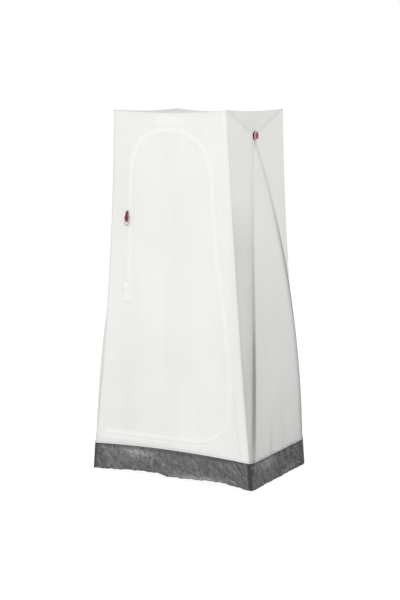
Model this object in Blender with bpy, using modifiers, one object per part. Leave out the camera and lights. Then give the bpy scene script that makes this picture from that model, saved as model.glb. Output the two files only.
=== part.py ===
"""Free-standing zipped fabric tent on two side frames of rods and hubs. Metres, +Z up, front at -Y."""

import math

import bmesh
import bpy
from mathutils import Matrix, Vector

# Cover
HEIGHT = 1.49
BASE_WIDTH = 0.74
TOP_WIDTH = 0.51
DEPTH = 0.50
SHEET = 0.0012
GAP = 0.0004
SKIRT_HEIGHT = 0.110
SKIRT_LIFT = 0.0016
TILT = (BASE_WIDTH - TOP_WIDTH) / 2 / HEIGHT
WALL_TOP = HEIGHT - SHEET - GAP
INNER_Y = DEPTH / 2 - SHEET - GAP
WALL_ROWS = 18

# Hub and knob in the middle of each side, measured from the outer face of the fabric
HUB_X = 0.250
HUB_Z = 1.387
CLAMP = 0.019
STUD_R = 0.006
STUD_LONG = 0.012
STUD_HOLE_R = 0.0072
BOSS_R = 0.010
BOSS_END = 0.024
CUP_R = 0.0135
CUP = (0.018, 0.040)
LEG_PLATE = ((-0.0165, -0.0185, -0.0245), (-0.0112, 0.0185, -0.0030))
EARS = ((-0.0150, -0.0085, -0.0065), (0.0065, 0.0085, 0.0065))
EAR_SLOT = ((-0.0058, -0.0036, -0.03), (0.03, 0.0036, 0.03))
RUN = 0.0003
KNOB_OUT = 0.0108
KNOB_DISC_R = 0.0172
KNOB_NECK_R = 0.0095
KNOB_FLANGE_R = 0.0165
KNOB_LIFT = 0.0005

# Legs and upper arms
ROD_R = 0.0035
ARM_R = 0.003
LEG_DEPTH = 0.0085
LEG_PIN_Y = 0.009
LEG_PIN_DROP = 0.016
FOOT_Y = 0.230
FOOT_Z = 0.026
ROD_JOIN = 0.52
ARM_PIN_Y = 0.020
ARM_PIN_RISE = 0.008
ARM_PIN_DEPTH = 0.016
ARM_TIP_Y = 0.220
ARM_TIP_Z = 1.470
ARM_TIP_X = 0.2435
RAIL_R = 0.0095
RAIL_WALL = 0.001
RAIL_END_DEPTH = 0.0245
LEG_PIN_R = 0.0022
LEG_PIN = (0.0075, 0.0037)
LEG_PIN_HEAD_R = 0.0042
LEG_PIN_HEAD = (0.0030, 0.0044)
LEG_BORE_R = 0.0026
LEG_EYE_R = 0.0065
LEG_EYE_HALF = 0.0023
ARM_PIN_R = 0.0015
ARM_PIN_HALF = 0.0080
ARM_BORE_R = 0.0018
ARM_EYE_R = 0.0045
ARM_EYE_HALF = 0.0032
ROD_GAP = 0.0006
FERRULE_HALF = 0.035
FERRULE_WALL = 0.0012
FERRULE_PLAY = 0.0005
FOOT_CAP = 0.030
FOOT_WALL = 0.0022
FOOT_PLAY = 0.0006
FOOT_FLOOR = 0.0015
BEYOND = 0.02

# Patches inside the corners, as (lowest, highest)
TOP_POCKET = (1.425, 1.484)
FOOT_PATCH = (0.012, 0.090)
PATCH = 0.0016
PATCH_INSET = 0.006
PATCH_WIDTH = 0.038
POCKET_REACH = 0.030

# Door
TAPE_WIDTH = 0.010
TAPE = 0.001
ZIP_GAP = 0.0008
END_PATCH = (0.015, 0.005, 0.083)
CREASE_LEAN = 0.0269
CREASE_BOTTOM = -0.1935
ZIP_START = (-0.335, 0.142)
ZIP_END = (-0.203, 0.720)

# Slider, puller and ring; depths are measured out from the slider's back face
PULL_Z = 1.078
SLIDER = (0.005, 0.0035)
SLIDER_BELOW = 0.009
SLIDER_ABOVE = 0.011
LUG_HALF = 0.001
LUG_OUT = 0.0094
LUG_HIGH = 0.003
EYE_OUT = 0.0072
EYE_R = 0.0014
PULL_HALF = 0.0078
PULL_NECK_HALF = 0.0024
PULL_THICK = 0.0022
PULL_LONG = 0.035
PULL_NECK = 0.009
PULL_TOP = 0.0028
FORK_HALF = 0.0015
FORK_DEEP = 0.0050
BAR_R = 0.0009
RING_HOLE_UP = 0.003
RING_R = 0.0085
RING_LONG = 1.15
RING_WIRE = 0.0008

WHITE = (0.86, 0.86, 0.84, 1)
DARK = (0.13, 0.135, 0.135, 1)
RED = (0.42, 0.02, 0.03, 1)
GREY = (0.30, 0.30, 0.31, 1)
STEEL = (0.60, 0.60, 0.62, 1)


def clear_scene():
    for old in list(bpy.data.objects):
        bpy.data.objects.remove(old, do_unlink=True)


def new_collection(name):
    made = bpy.data.collections.new(name)
    bpy.context.scene.collection.children.link(made)
    return made


def material(name, colour, roughness, metallic=0.0):
    made = bpy.data.materials.new(name)
    made.use_nodes = True
    shader = made.node_tree.nodes["Principled BSDF"]
    shader.inputs["Base Color"].default_value = colour
    shader.inputs["Roughness"].default_value = roughness
    shader.inputs["Metallic"].default_value = metallic
    return made


def add_mesh(name, bm, finish, place=None, parent=None):
    """A new object from a bmesh, in the part collection."""
    bmesh.ops.recalc_face_normals(bm, faces=bm.faces)
    mesh = bpy.data.meshes.new(name)
    bm.to_mesh(mesh)
    bm.free()
    made = bpy.data.objects.new(name, mesh)
    mesh.materials.append(finish)
    made.matrix_world = place or Matrix.Identity(4)
    PARTS.objects.link(made)
    if parent:
        made.parent = parent
    return made


def half_width(z):
    """Half the width of the cover at a height."""
    return BASE_WIDTH / 2 - TILT * z


def hermite(t, start, end, start_slope, end_slope):
    """Cubic from start to end over t 0 to 1, with its slope at both ends."""
    return (
        (2 * t**3 - 3 * t**2 + 1) * start
        + (t**3 - 2 * t**2 + t) * start_slope
        + (3 * t**2 - 2 * t**3) * end
        + (t**3 - t**2) * end_slope
    )


def drop(z):
    """How far down from the hub a height is, 0 at the clamp's lower edge and 1 at the ground."""
    top = HUB_Z - CLAMP
    return min(1.0, max(0.0, (top - z) / top))


def leg_y(z):
    """Distance of a leg from the middle plane."""
    return hermite(drop(z), LEG_PIN_Y, FOOT_Y, 2.15 * FOOT_Y, 0.3 * FOOT_Y)


def ridge_x(z):
    """Outer face of the side fabric where a leg bows it out."""
    pinched = HUB_X - half_width(HUB_Z - CLAMP)
    return half_width(z) + hermite(drop(z), pinched, 0.0, 0.125, -0.150)


def bezier(p0, p1, p2, p3, steps):
    """Points after p0 along a cubic curve in the plane."""
    found = []
    for i in range(1, steps + 1):
        t = i / steps
        a, b, c, d = (1 - t) ** 3, 3 * (1 - t) ** 2 * t, 3 * (1 - t) * t**2, t**3
        found.append(tuple(a * p0[k] + b * p1[k] + c * p2[k] + d * p3[k] for k in (0, 1)))
    return found


def zip_line():
    """The zip seen from the front, as (x, z), from the low left along the bottom, up, over and down."""
    corner = (0.110, 0.146)
    right = (0.283, 0.330)
    shoulder = (0.200, 1.210)
    crown = (0.0, 1.424)
    left = (-0.190, 1.240)
    points = [ZIP_START, corner]
    points += bezier(corner, (0.230, 0.150), (0.281, 0.205), right, 8)
    points += bezier(right, (0.285, 0.620), (0.201, 0.920), shoulder, 10)
    points += bezier(shoulder, (0.200, 1.345), (0.115, 1.424), crown, 9)
    points += bezier(crown, (-0.112, 1.424), (-0.185, 1.370), left, 9)
    return points + [ZIP_END]


def crease_x(z):
    """The upright line on which the door folds open."""
    return CREASE_BOTTOM + CREASE_LEAN * (z - ZIP_START[1])


def offset_line(points, distance):
    """The line moved sideways, to its left for a positive distance."""
    moved = []
    for i, point in enumerate(points):
        before = Vector(points[max(i - 1, 0)])
        after = Vector(points[min(i + 1, len(points) - 1)])
        along = (after - before).normalized()
        moved.append((point[0] - along.y * distance, point[1] + along.x * distance))
    return moved


def cut_at_crease(points, margin):
    """The part of a line on the door's side of the crease, with its ends on the crease plus a margin."""

    def side(p):
        return p[0] - crease_x(p[1]) - margin

    kept = []
    for a, b in zip(points, points[1:]):
        sa, sb = side(a), side(b)
        if sa >= 0:
            kept.append(a)
        if sa * sb < 0:
            t = sa / (sa - sb)
            kept.append((a[0] + t * (b[0] - a[0]), a[1] + t * (b[1] - a[1])))
    return kept


def flat_sheet(name, loops, y, thickness, finish):
    """A sheet in the front plane from closed (x, z) outlines, the first the edge and others holes."""
    curve = bpy.data.curves.new(name, "CURVE")
    curve.dimensions = "2D"
    curve.fill_mode = "BOTH"
    curve.extrude = thickness / 2
    for loop in loops:
        spline = curve.splines.new("POLY")
        spline.points.add(len(loop) - 1)
        for point, (x, z) in zip(spline.points, loop):
            point.co = (x, z, 0, 1)
        spline.use_cyclic_u = True
    drawn = bpy.data.objects.new(name, curve)
    bpy.context.scene.collection.objects.link(drawn)
    drawn.matrix_world = Matrix.Translation((0, y, 0)) @ Matrix.Rotation(math.pi / 2, 4, "X")
    return welded(drawn, finish)


def welded(drawn, finish, parent=None):
    """A curve object made into a closed mesh object with the same name and place."""
    bpy.context.view_layer.update()
    graph = bpy.context.evaluated_depsgraph_get()
    mesh = bpy.data.meshes.new_from_object(drawn.evaluated_get(graph))
    name, place = drawn.name, drawn.matrix_world.copy()
    bpy.data.objects.remove(drawn, do_unlink=True)
    bm = bmesh.new()
    bm.from_mesh(mesh)
    bpy.data.meshes.remove(mesh)
    bmesh.ops.remove_doubles(bm, verts=bm.verts, dist=1e-5)
    made = add_mesh(name, bm, finish, place)
    made.data.materials.clear()
    made.data.materials.append(finish)
    if parent:
        made.parent = parent
    return made


def rod(name, points, radius, finish, sides=2):
    """A round rod through points, with closed ends."""
    curve = bpy.data.curves.new(name, "CURVE")
    curve.dimensions = "3D"
    curve.bevel_depth = radius
    curve.bevel_resolution = sides
    curve.use_fill_caps = True
    spline = curve.splines.new("POLY")
    spline.points.add(len(points) - 1)
    for point, place in zip(spline.points, points):
        point.co = (*place, 1)
    drawn = bpy.data.objects.new(name, curve)
    bpy.context.scene.collection.objects.link(drawn)
    made = welded(drawn, finish)
    smooth(made)
    return made


def smooth(made):
    made.data.shade_smooth()
    made.data.set_sharp_from_angle(angle=math.radians(40))


def cylinder(name, start, end, radius, finish, segments=20):
    """A closed round bar between two points."""
    start, end = Vector(start), Vector(end)
    bm = bmesh.new()
    bmesh.ops.create_cone(
        bm,
        cap_ends=True,
        segments=segments,
        radius1=radius,
        radius2=radius,
        depth=(end - start).length,
    )
    turn = (end - start).to_track_quat("Z", "Y").to_matrix().to_4x4()
    made = add_mesh(name, bm, finish, Matrix.Translation((start + end) / 2) @ turn)
    smooth(made)
    return made


def box(name, low, high, finish, axes=None, origin=(0, 0, 0)):
    """A box between two corners, given along three axes from an origin."""
    low, high = Vector(low), Vector(high)
    bm = bmesh.new()
    bmesh.ops.create_cube(bm, size=1)
    bmesh.ops.scale(bm, vec=high - low, verts=bm.verts)
    bmesh.ops.translate(bm, vec=(low + high) / 2, verts=bm.verts)
    turn = Matrix(axes).transposed().to_4x4() if axes else Matrix.Identity(4)
    return add_mesh(name, bm, finish, Matrix.Translation(origin) @ turn)


def helper(made):
    """Moves an object to the cutters, out of the part."""
    PARTS.objects.unlink(made)
    CUTTERS.objects.link(made)
    made.hide_render = True
    made.display_type = "WIRE"
    return made


def boolean(body, tool, operation):
    modifier = body.modifiers.new(operation.title() + tool.name, "BOOLEAN")
    modifier.operation = operation
    modifier.solver = "EXACT"
    modifier.object = helper(tool)


def grid_sheet(name, rows, finish, thickness, offset):
    """A sheet through rows of points, thickened to one side."""
    bm = bmesh.new()
    made_rows = [[bm.verts.new(p) for p in row] for row in rows]
    for low, high in zip(made_rows, made_rows[1:]):
        for i in range(len(low) - 1):
            bm.faces.new((low[i], low[i + 1], high[i + 1], high[i]))
    made = add_mesh(name, bm, finish)
    solid = made.modifiers.new("Sheet", "SOLIDIFY")
    solid.thickness = thickness
    solid.offset = offset
    return made


def trapezoid(low, high, inset=0.0):
    """Corners of a front or back sheet between two heights."""
    return [
        (half_width(low) - inset, low),
        (half_width(high) - inset, high),
        (-half_width(high) + inset, high),
        (-half_width(low) + inset, low),
    ]


def front_and_back():
    opening = cut_at_crease(offset_line(zip_line(), -ZIP_GAP / 2), -ZIP_GAP / 2)
    outline = trapezoid(SKIRT_HEIGHT, WALL_TOP)
    front_y = -DEPTH / 2 + SHEET / 2
    flat_sheet("front_wall", [outline, opening], front_y, SHEET, COVER)
    flat_sheet("back_wall", [outline], -front_y, SHEET, COVER)
    top = SKIRT_HEIGHT - GAP
    flat_sheet("skirt_front", [trapezoid(SKIRT_LIFT, top)], front_y, SHEET, GROUND)
    flat_sheet("skirt_back", [trapezoid(SKIRT_LIFT, top)], -front_y, SHEET, GROUND)


def side_rows(heights):
    """Rows of points over the right side: its front edge, the front leg, the back leg and its back edge."""
    rows = []
    for z in heights:
        if z > HUB_Z - CLAMP - 1e-6:
            spread, out = CLAMP, HUB_X
            if z > HUB_Z + CLAMP + 1e-6:
                out = half_width(z)
        else:
            spread, out = max(CLAMP, leg_y(z)), ridge_x(z)
        spread = min(spread, INNER_Y - 0.012)
        edge = half_width(z)
        rows.append([(edge, -INNER_Y, z), (out, -spread, z), (out, spread, z), (edge, INNER_Y, z)])
    return rows


def side_walls():
    rise = (HUB_Z - CLAMP - SKIRT_HEIGHT) / WALL_ROWS
    heights = [SKIRT_HEIGHT + rise * i for i in range(WALL_ROWS + 1)] + [HUB_Z + CLAMP, WALL_TOP]
    skirt = [SKIRT_LIFT, SKIRT_HEIGHT / 3, SKIRT_HEIGHT * 2 / 3, SKIRT_HEIGHT - GAP]
    for side, half_turn in SIDES:
        wall = grid_sheet(f"{side}_wall", side_rows(heights), COVER, SHEET, -1)
        inner, outer = (HUB_X - BEYOND, 0, HUB_Z), (HUB_X + BEYOND, 0, HUB_Z)
        hole = cylinder(f"{side}_wall_hole", inner, outer, STUD_HOLE_R, COVER)
        boolean(wall, hole, "DIFFERENCE")
        low = grid_sheet(f"skirt_{side}", side_rows(skirt), GROUND, SHEET, -1)
        for made in (wall, low, hole):
            made.matrix_world = half_turn @ made.matrix_world


def roof_and_floor():
    top = half_width(HEIGHT)
    box("roof", (-top, -DEPTH / 2, HEIGHT - SHEET), (top, DEPTH / 2, HEIGHT), COVER)
    wide = BASE_WIDTH / 2
    box("floor", (-wide, -DEPTH / 2, 0), (wide, DEPTH / 2, SHEET), GROUND)


def door():
    line = zip_line()
    leaf = cut_at_crease(offset_line(line, ZIP_GAP / 2), ZIP_GAP / 2)
    flat_sheet("door_panel", [leaf], -DEPTH / 2 + SHEET / 2, SHEET, COVER)
    tape_y = -DEPTH / 2 - GAP - TAPE / 2
    outer = offset_line(line, -ZIP_GAP / 2)
    outer_edge = offset_line(line, -ZIP_GAP / 2 - TAPE_WIDTH)
    flat_sheet("zip_tape_outer", [outer + outer_edge[::-1]], tape_y, TAPE, TAPE_FINISH)
    inner = cut_at_crease(offset_line(line, ZIP_GAP / 2), ZIP_GAP)
    inner_edge = cut_at_crease(offset_line(line, ZIP_GAP / 2 + TAPE_WIDTH), ZIP_GAP)
    flat_sheet("zip_tape_door", [inner + inner_edge[::-1]], tape_y, TAPE, TAPE_FINISH)
    run = [line[-2], line[-1]]
    side = offset_line(run, ZIP_GAP / 2)
    side_edge = offset_line(run, ZIP_GAP / 2 + TAPE_WIDTH)
    flat_sheet("zip_tape_side", [side + side_edge[::-1]], tape_y, TAPE, TAPE_FINISH)
    x, end_z = ZIP_END
    half, low, high = END_PATCH[0], end_z - END_PATCH[1], end_z + END_PATCH[2]
    patch = [(x - half, low), (x + half, low), (x + half, high), (x - half, high)]
    flat_sheet("zip_end_patch", [patch], tape_y - TAPE - GAP, TAPE, TAPE_FINISH)


def zip_pull():
    """The slider on the straight left run of the zip, with a bored lug for the puller."""
    z = PULL_Z
    upper = zip_line()[-2]
    lean = (upper[0] - ZIP_END[0]) / (upper[1] - ZIP_END[1])
    x = ZIP_END[0] + lean * (z - ZIP_END[1])
    face = -DEPTH / 2 - GAP - TAPE - GAP
    half, thick = SLIDER
    low, high = (x - half, face - thick, z - SLIDER_BELOW), (x + half, face, z + SLIDER_ABOVE)
    slider = box("zip_slider", low, high, MARK)
    lug_low = (x - LUG_HALF, face - LUG_OUT, z - LUG_HIGH)
    lug = box("slider_lug", lug_low, (x + LUG_HALF, face - thick / 2, z + LUG_HIGH), MARK)
    boolean(slider, lug, "UNION")
    y = face - EYE_OUT
    bore = cylinder("slider_bore", (x - BEYOND, y, z), (x + BEYOND, y, z), EYE_R, MARK, 12)
    boolean(slider, bore, "DIFFERENCE")
    puller(x, y, z)


def puller(x, y, z):
    """The hanging pull and its ring; the pull turns on a cross bar through the slider's lug."""
    near, far = y - PULL_THICK, y + PULL_THICK
    low = z - PULL_LONG
    neck_top = low + PULL_NECK
    pull_low = (x - PULL_HALF, near, neck_top - 0.002)
    pull = box("zip_puller", pull_low, (x + PULL_HALF, far, z + PULL_TOP), MARK)
    neck = box("puller_neck", (x - PULL_NECK_HALF, near, low), (x + PULL_NECK_HALF, far, neck_top), MARK)
    boolean(pull, neck, "UNION")
    fork_low = (x - FORK_HALF, y - BEYOND, z - FORK_DEEP)
    fork = box("puller_fork", fork_low, (x + FORK_HALF, y + BEYOND, z + BEYOND), MARK)
    boolean(pull, fork, "DIFFERENCE")
    bar_half = (FORK_HALF + PULL_HALF) / 2
    bar = cylinder("puller_bar", (x - bar_half, y, z), (x + bar_half, y, z), BAR_R, MARK, 12)
    boolean(pull, bar, "UNION")
    hole_z = low + RING_HOLE_UP
    hole = cylinder("puller_hole", (x - BEYOND, y, hole_z), (x + BEYOND, y, hole_z), EYE_R, MARK, 12)
    boolean(pull, hole, "DIFFERENCE")
    pull_ring(x, y, hole_z)


def pull_ring(x, y, z):
    """A wire ring that hangs through the pull's cross hole, its origin in the hole."""
    segments, sides = 24, 8
    bm = bmesh.new()
    loops = []
    for i in range(segments):
        angle = 2 * math.pi * i / segments
        out = Vector((math.sin(angle), 0, math.cos(angle)))
        middle = Vector((out.x * RING_R, 0, (out.z - 1) * RING_R * RING_LONG))
        loop = []
        for k in range(sides):
            turn = 2 * math.pi * k / sides
            round_wire = out * math.cos(turn) + Vector((0, math.sin(turn), 0))
            loop.append(bm.verts.new(middle + round_wire * RING_WIRE))
        loops.append(loop)
    for i in range(segments):
        a, b = loops[i], loops[(i + 1) % segments]
        for k in range(sides):
            m = (k + 1) % sides
            bm.faces.new((a[k], a[m], b[m], b[k]))
    smooth(add_mesh("pull_ring", bm, MARK, Matrix.Translation((x, y, z + 0.0002))))


def turned(name, profile, finish, place, segments=24):
    """A solid turned about an axis along X from (x, radius) points that run from outside to inside."""
    bm = bmesh.new()
    verts = [bm.verts.new((0, r, x)) for x, r in profile]
    for a, b in zip(verts, verts[1:]):
        bm.edges.new((a, b))
    bmesh.ops.spin(
        bm,
        geom=bm.verts[:] + bm.edges[:],
        cent=(0, 0, 0),
        axis=(0, 0, 1),
        angle=2 * math.pi,
        steps=segments,
        use_merge=True,
    )
    bmesh.ops.remove_doubles(bm, verts=bm.verts, dist=1e-6)
    turn = Matrix.Rotation(math.pi / 2, 4, "Y")
    made = add_mesh(name, bm, finish, Matrix.Translation(place) @ turn)
    smooth(made)
    return made


def knob(side):
    """Spool-shaped knob: rear flange on the fabric, neck, front disc, and a stud into the hub."""
    profile = [
        (KNOB_OUT, 0.0),
        (KNOB_OUT, 0.78 * KNOB_DISC_R),
        (0.91 * KNOB_OUT, 0.97 * KNOB_DISC_R),
        (0.74 * KNOB_OUT, KNOB_DISC_R),
        (0.61 * KNOB_OUT, 0.91 * KNOB_DISC_R),
        (0.52 * KNOB_OUT, 1.05 * KNOB_NECK_R),
        (0.37 * KNOB_OUT, KNOB_NECK_R),
        (0.26 * KNOB_OUT, 0.90 * KNOB_FLANGE_R),
        (0.17 * KNOB_OUT, KNOB_FLANGE_R),
        (KNOB_LIFT, 0.97 * KNOB_FLANGE_R),
        (KNOB_LIFT, STUD_R),
        (-STUD_LONG, STUD_R),
        (-STUD_LONG, 0.0),
    ]
    return turned(f"{side}_knob", profile, MARK, (HUB_X, 0, HUB_Z))


def arm_direction(end):
    """Unit vector of an upper arm from its pin to its tip; end is -1 at the front and 1 at the back."""
    pin = Vector((HUB_X - ARM_PIN_DEPTH, end * ARM_PIN_Y, HUB_Z + ARM_PIN_RISE))
    tip = Vector((ARM_TIP_X, end * ARM_TIP_Y, ARM_TIP_Z))
    return pin, tip, (tip - pin).normalized()


def arm_axis(end):
    """The arm's pin direction, square to the arm in the side plane."""
    along = arm_direction(end)[2]
    return Vector((0, -along.z, along.y)).normalized()


def inward(depth):
    """The point on the hub's axis at a depth under the fabric's outer face."""
    return Vector((HUB_X - depth, 0, HUB_Z))


def hub(side):
    """Moulded hub: boss, leg plate, two arm clevises and the rail cup."""
    body = cylinder(f"{side}_hub", inward(SHEET + GAP), inward(BOSS_END), BOSS_R, MOULDED, 24)
    plate = box(f"{side}_hub_plate", *LEG_PLATE, MOULDED, origin=inward(0))
    cup = cylinder(f"{side}_hub_cup", inward(CUP[0]), inward(CUP[1]), CUP_R, MOULDED, 24)
    boolean(body, plate, "UNION")
    boolean(body, cup, "UNION")
    tools = [plate, cup]
    for end in (-1, 1):
        tools += arm_clevis(side, end, body)
        at = leg_pin_point(end)
        start, stop = beside(at, -BEYOND), beside(at, BEYOND / 2)
        hole = cylinder(f"{side}_hub_leg_bore{end}", start, stop, LEG_PIN_R + ROD_GAP, MOULDED, 16)
        boolean(body, hole, "DIFFERENCE")
        tools.append(hole)
    stud_end = inward(STUD_LONG + 0.002)
    stud = cylinder(f"{side}_hub_stud_bore", inward(-0.01), stud_end, STUD_R + RUN, MOULDED, 24)
    rail_start = inward(RAIL_END_DEPTH - 0.001)
    rail = cylinder(f"{side}_hub_rail_bore", rail_start, inward(0.05), RAIL_R + RUN, MOULDED, 24)
    boolean(body, stud, "DIFFERENCE")
    boolean(body, rail, "DIFFERENCE")
    return [body, stud, rail] + tools


def arm_clevis(side, end, body):
    """Adds the two ears that hold one upper arm's pin to the hub."""
    pin, _, along = arm_direction(end)
    axis = arm_axis(end)
    radial = Vector((0, along.y, along.z)).normalized()
    axes = (radial, axis, radial.cross(axis))
    ears = box(f"{side}_hub_ears{end}", *EARS, MOULDED, axes, pin)
    slot = box(f"{side}_hub_slot{end}", *EAR_SLOT, MOULDED, axes, pin)
    start, stop = pin - axis * BEYOND, pin + axis * BEYOND
    bore = cylinder(f"{side}_hub_arm_bore{end}", start, stop, ARM_BORE_R, MOULDED, 16)
    boolean(body, ears, "UNION")
    boolean(body, slot, "DIFFERENCE")
    boolean(body, bore, "DIFFERENCE")
    return [ears, slot, bore]


def beside(at, out):
    """A point moved along X."""
    return at + Vector((out, 0, 0))


def leg_pin_point(end):
    """Where a leg's pin crosses the leg's layer."""
    return Vector((HUB_X - LEG_DEPTH, end * LEG_PIN_Y, HUB_Z - LEG_PIN_DROP))


def leg_point(z, end):
    """A point on a leg's middle line."""
    return Vector((ridge_x(z) - LEG_DEPTH, end * leg_y(z), z))


def pins(side, end):
    """The leg's headed pin and the arm's plain pin."""
    place = end_name(end, side)
    at = leg_pin_point(end)
    start, stop = beside(at, -LEG_PIN[0]), beside(at, LEG_PIN[1])
    shank = cylinder(f"{side}_{place}_leg_pin", start, stop, LEG_PIN_R, METAL, 16)
    start, stop = beside(at, LEG_PIN_HEAD[0]), beside(at, LEG_PIN_HEAD[1])
    head = cylinder(f"{side}_leg_pin_head{end}", start, stop, LEG_PIN_HEAD_R, METAL, 16)
    boolean(shank, head, "UNION")
    pin = arm_direction(end)[0]
    reach = arm_axis(end) * ARM_PIN_HALF
    bar = cylinder(f"{side}_{place}_arm_pin", pin - reach, pin + reach, ARM_PIN_R, METAL, 12)
    return [shank, head, bar]


def leg(side, end):
    """Two rods joined by a ferrule, with an eye on the hub's pin and a cap on the foot."""
    label = f"{side}_{end_name(end, side)}_leg"
    at = leg_pin_point(end)
    top, join, foot = leg_heights()
    upper = [leg_point(top + (join - top) * i / 9, end) for i in range(10)]
    lower = [leg_point(join - ROD_GAP + (foot - join) * i / 8, end) for i in range(9)]
    upper_rod = rod(label + "_upper", [at] + upper, ROD_R, RODS)
    tools = leg_eye(label, at, upper_rod)
    lower_rod = rod(label + "_lower", lower, ROD_R, RODS)
    high, low = leg_point(join + FERRULE_HALF, end), leg_point(join - FERRULE_HALF, end)
    joined = [upper_rod, lower_rod] + tools
    return joined + ferrule(label + "_ferrule", high, low) + foot_cap(label, end, foot)


def leg_heights():
    """Heights of a leg's first bend, of the joint between its rods, and of its lower rod's end."""
    return HUB_Z - CLAMP - 0.012, HUB_Z * ROD_JOIN, FOOT_Z + 0.006


def leg_eye(label, at, upper_rod):
    """A flat bored eye at the top of a leg."""
    eye = cylinder(label + "_eye", beside(at, -LEG_EYE_HALF), beside(at, LEG_EYE_HALF), LEG_EYE_R, RODS, 20)
    bore = cylinder(label + "_eye_bore", beside(at, -BEYOND), beside(at, BEYOND), LEG_BORE_R, RODS, 16)
    boolean(upper_rod, eye, "UNION")
    boolean(upper_rod, bore, "DIFFERENCE")
    tools = [eye, bore]
    for side, near, far in (("in", -BEYOND, -LEG_EYE_HALF), ("out", LEG_EYE_HALF, BEYOND)):
        low, high = at + Vector((near, -BEYOND, -0.012)), at + Vector((far, BEYOND, BEYOND))
        flat = box(f"{label}_flat_{side}", low, high, RODS)
        boolean(upper_rod, flat, "DIFFERENCE")
        tools.append(flat)
    return tools


def ferrule(label, top, bottom):
    """A thin sleeve over the two rods where they meet."""
    sleeve = cylinder(label, top, bottom, ROD_R + FERRULE_WALL, METAL, 16)
    reach = (top - bottom) * 0.3
    hollow = cylinder(label + "_bore", top + reach, bottom - reach, ROD_R + FERRULE_PLAY, METAL, 16)
    boolean(sleeve, hollow, "DIFFERENCE")
    return [sleeve, hollow]


def foot_cap(label, end, foot):
    """A moulded cap over the lower rod's end."""
    top, bottom = leg_point(foot + FOOT_CAP, end), leg_point(FOOT_Z, end)
    cap = cylinder(label + "_foot", top, bottom, ROD_R + FOOT_WALL, MOULDED, 16)
    above, under = top + (top - bottom) * 0.4, leg_point(foot - FOOT_FLOOR, end)
    hollow = cylinder(label + "_foot_bore", above, under, ROD_R + FOOT_PLAY, MOULDED, 16)
    boolean(cap, hollow, "DIFFERENCE")
    return [cap, hollow]


def arm(side, end):
    """A short rod from the hub to the top corner, with an eye between the hub's ears."""
    label = f"{side}_{end_name(end, side)}_arm"
    pin, tip, along = arm_direction(end)
    axis = arm_axis(end)
    bar = rod(label, [pin + along * 0.002, tip], ARM_R, RODS)
    eye = cylinder(label + "_eye", pin - axis * ARM_EYE_HALF, pin + axis * ARM_EYE_HALF, ARM_EYE_R, RODS, 20)
    bore = cylinder(label + "_bore", pin - axis * BEYOND, pin + axis * BEYOND, ARM_BORE_R, RODS, 16)
    boolean(bar, eye, "UNION")
    boolean(bar, bore, "DIFFERENCE")
    return [bar, eye, bore]


def foot_patch(name, end):
    """Patch on the front or back sheet beside a foot."""
    low, high = FOOT_PATCH
    out = half_width(high) - PATCH_INSET
    y = end * (INNER_Y - GAP)
    inner = y - end * PATCH
    return [box(name, (out - PATCH_WIDTH, min(y, inner), low), (out, max(y, inner), high), GROUND)]


def top_pocket(name, end):
    """Angle-shaped pocket at a top corner: one leg on the front or back sheet, one along the side."""
    low, high = TOP_POCKET
    out = half_width(high) - PATCH_INSET
    y = end * (INNER_Y - GAP)
    inner = y - end * PATCH
    reach = y - end * POCKET_REACH
    wall = box(name, (out - PATCH_WIDTH, min(y, inner), low), (out, max(y, inner), high), COVER)
    turned_leg = box(name + "_turn", (out - PATCH, min(y, reach), low), (out, max(y, reach), high), COVER)
    boolean(wall, turned_leg, "UNION")
    return [wall, turned_leg]


def end_name(end, side):
    """Which end of the object a leg or arm is at; the left side is the right side turned half round."""
    return "front" if (end < 0) == (side == "right") else "back"


def side_frame(side, half_turn):
    """Everything that hangs on one hub, parented to an empty in the middle of the object."""
    turn = bpy.data.objects.new(f"{side}_side_frame", None)
    PARTS.objects.link(turn)
    made = [knob(side)] + hub(side)
    for end in (-1, 1):
        made += pins(side, end) + leg(side, end) + arm(side, end)
        place = end_name(end, side)
        made += top_pocket(f"top_pocket_{place}_{side}", end)
        made += foot_patch(f"foot_patch_{place}_{side}", end)
    for piece in made:
        piece.parent = turn
    turn.matrix_world = half_turn


def hanging_rail():
    """The tube between the two hubs."""
    end = Vector((HUB_X - RAIL_END_DEPTH, 0, 0))
    middle = Vector((0, 0, HUB_Z))
    tube = cylinder("hanging_rail", middle - end, middle + end, RAIL_R, METAL, 24)
    beyond = end * 1.1
    bore = cylinder("hanging_rail_bore", middle - beyond, middle + beyond, RAIL_R - RAIL_WALL, METAL, 24)
    boolean(tube, bore, "DIFFERENCE")


clear_scene()
PARTS = new_collection("zipped_fabric_tent")
CUTTERS = new_collection("cutters")
COVER = material("cover_fabric", WHITE, 0.85)
GROUND = material("groundsheet", DARK, 0.45)
TAPE_FINISH = material("zip_tape", WHITE, 0.7)
MARK = material("red_plastic", RED, 0.3)
MOULDED = material("grey_plastic", GREY, 0.5)
RODS = material("rod", GREY, 0.4)
METAL = material("steel", STEEL, 0.3, 1.0)
SIDES = (("right", Matrix.Identity(4)), ("left", Matrix.Rotation(math.pi, 4, "Z")))

front_and_back()
side_walls()
roof_and_floor()
door()
zip_pull()
hanging_rail()
for side_name, half_turn_matrix in SIDES:
    side_frame(side_name, half_turn_matrix)
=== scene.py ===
"""Looks for the zipped fabric tent: cloth, zip, groundsheet, red plastic and rods on the CAD frame."""

import math

import bmesh
import bpy
import numpy as np
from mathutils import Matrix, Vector, geometry, noise


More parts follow.
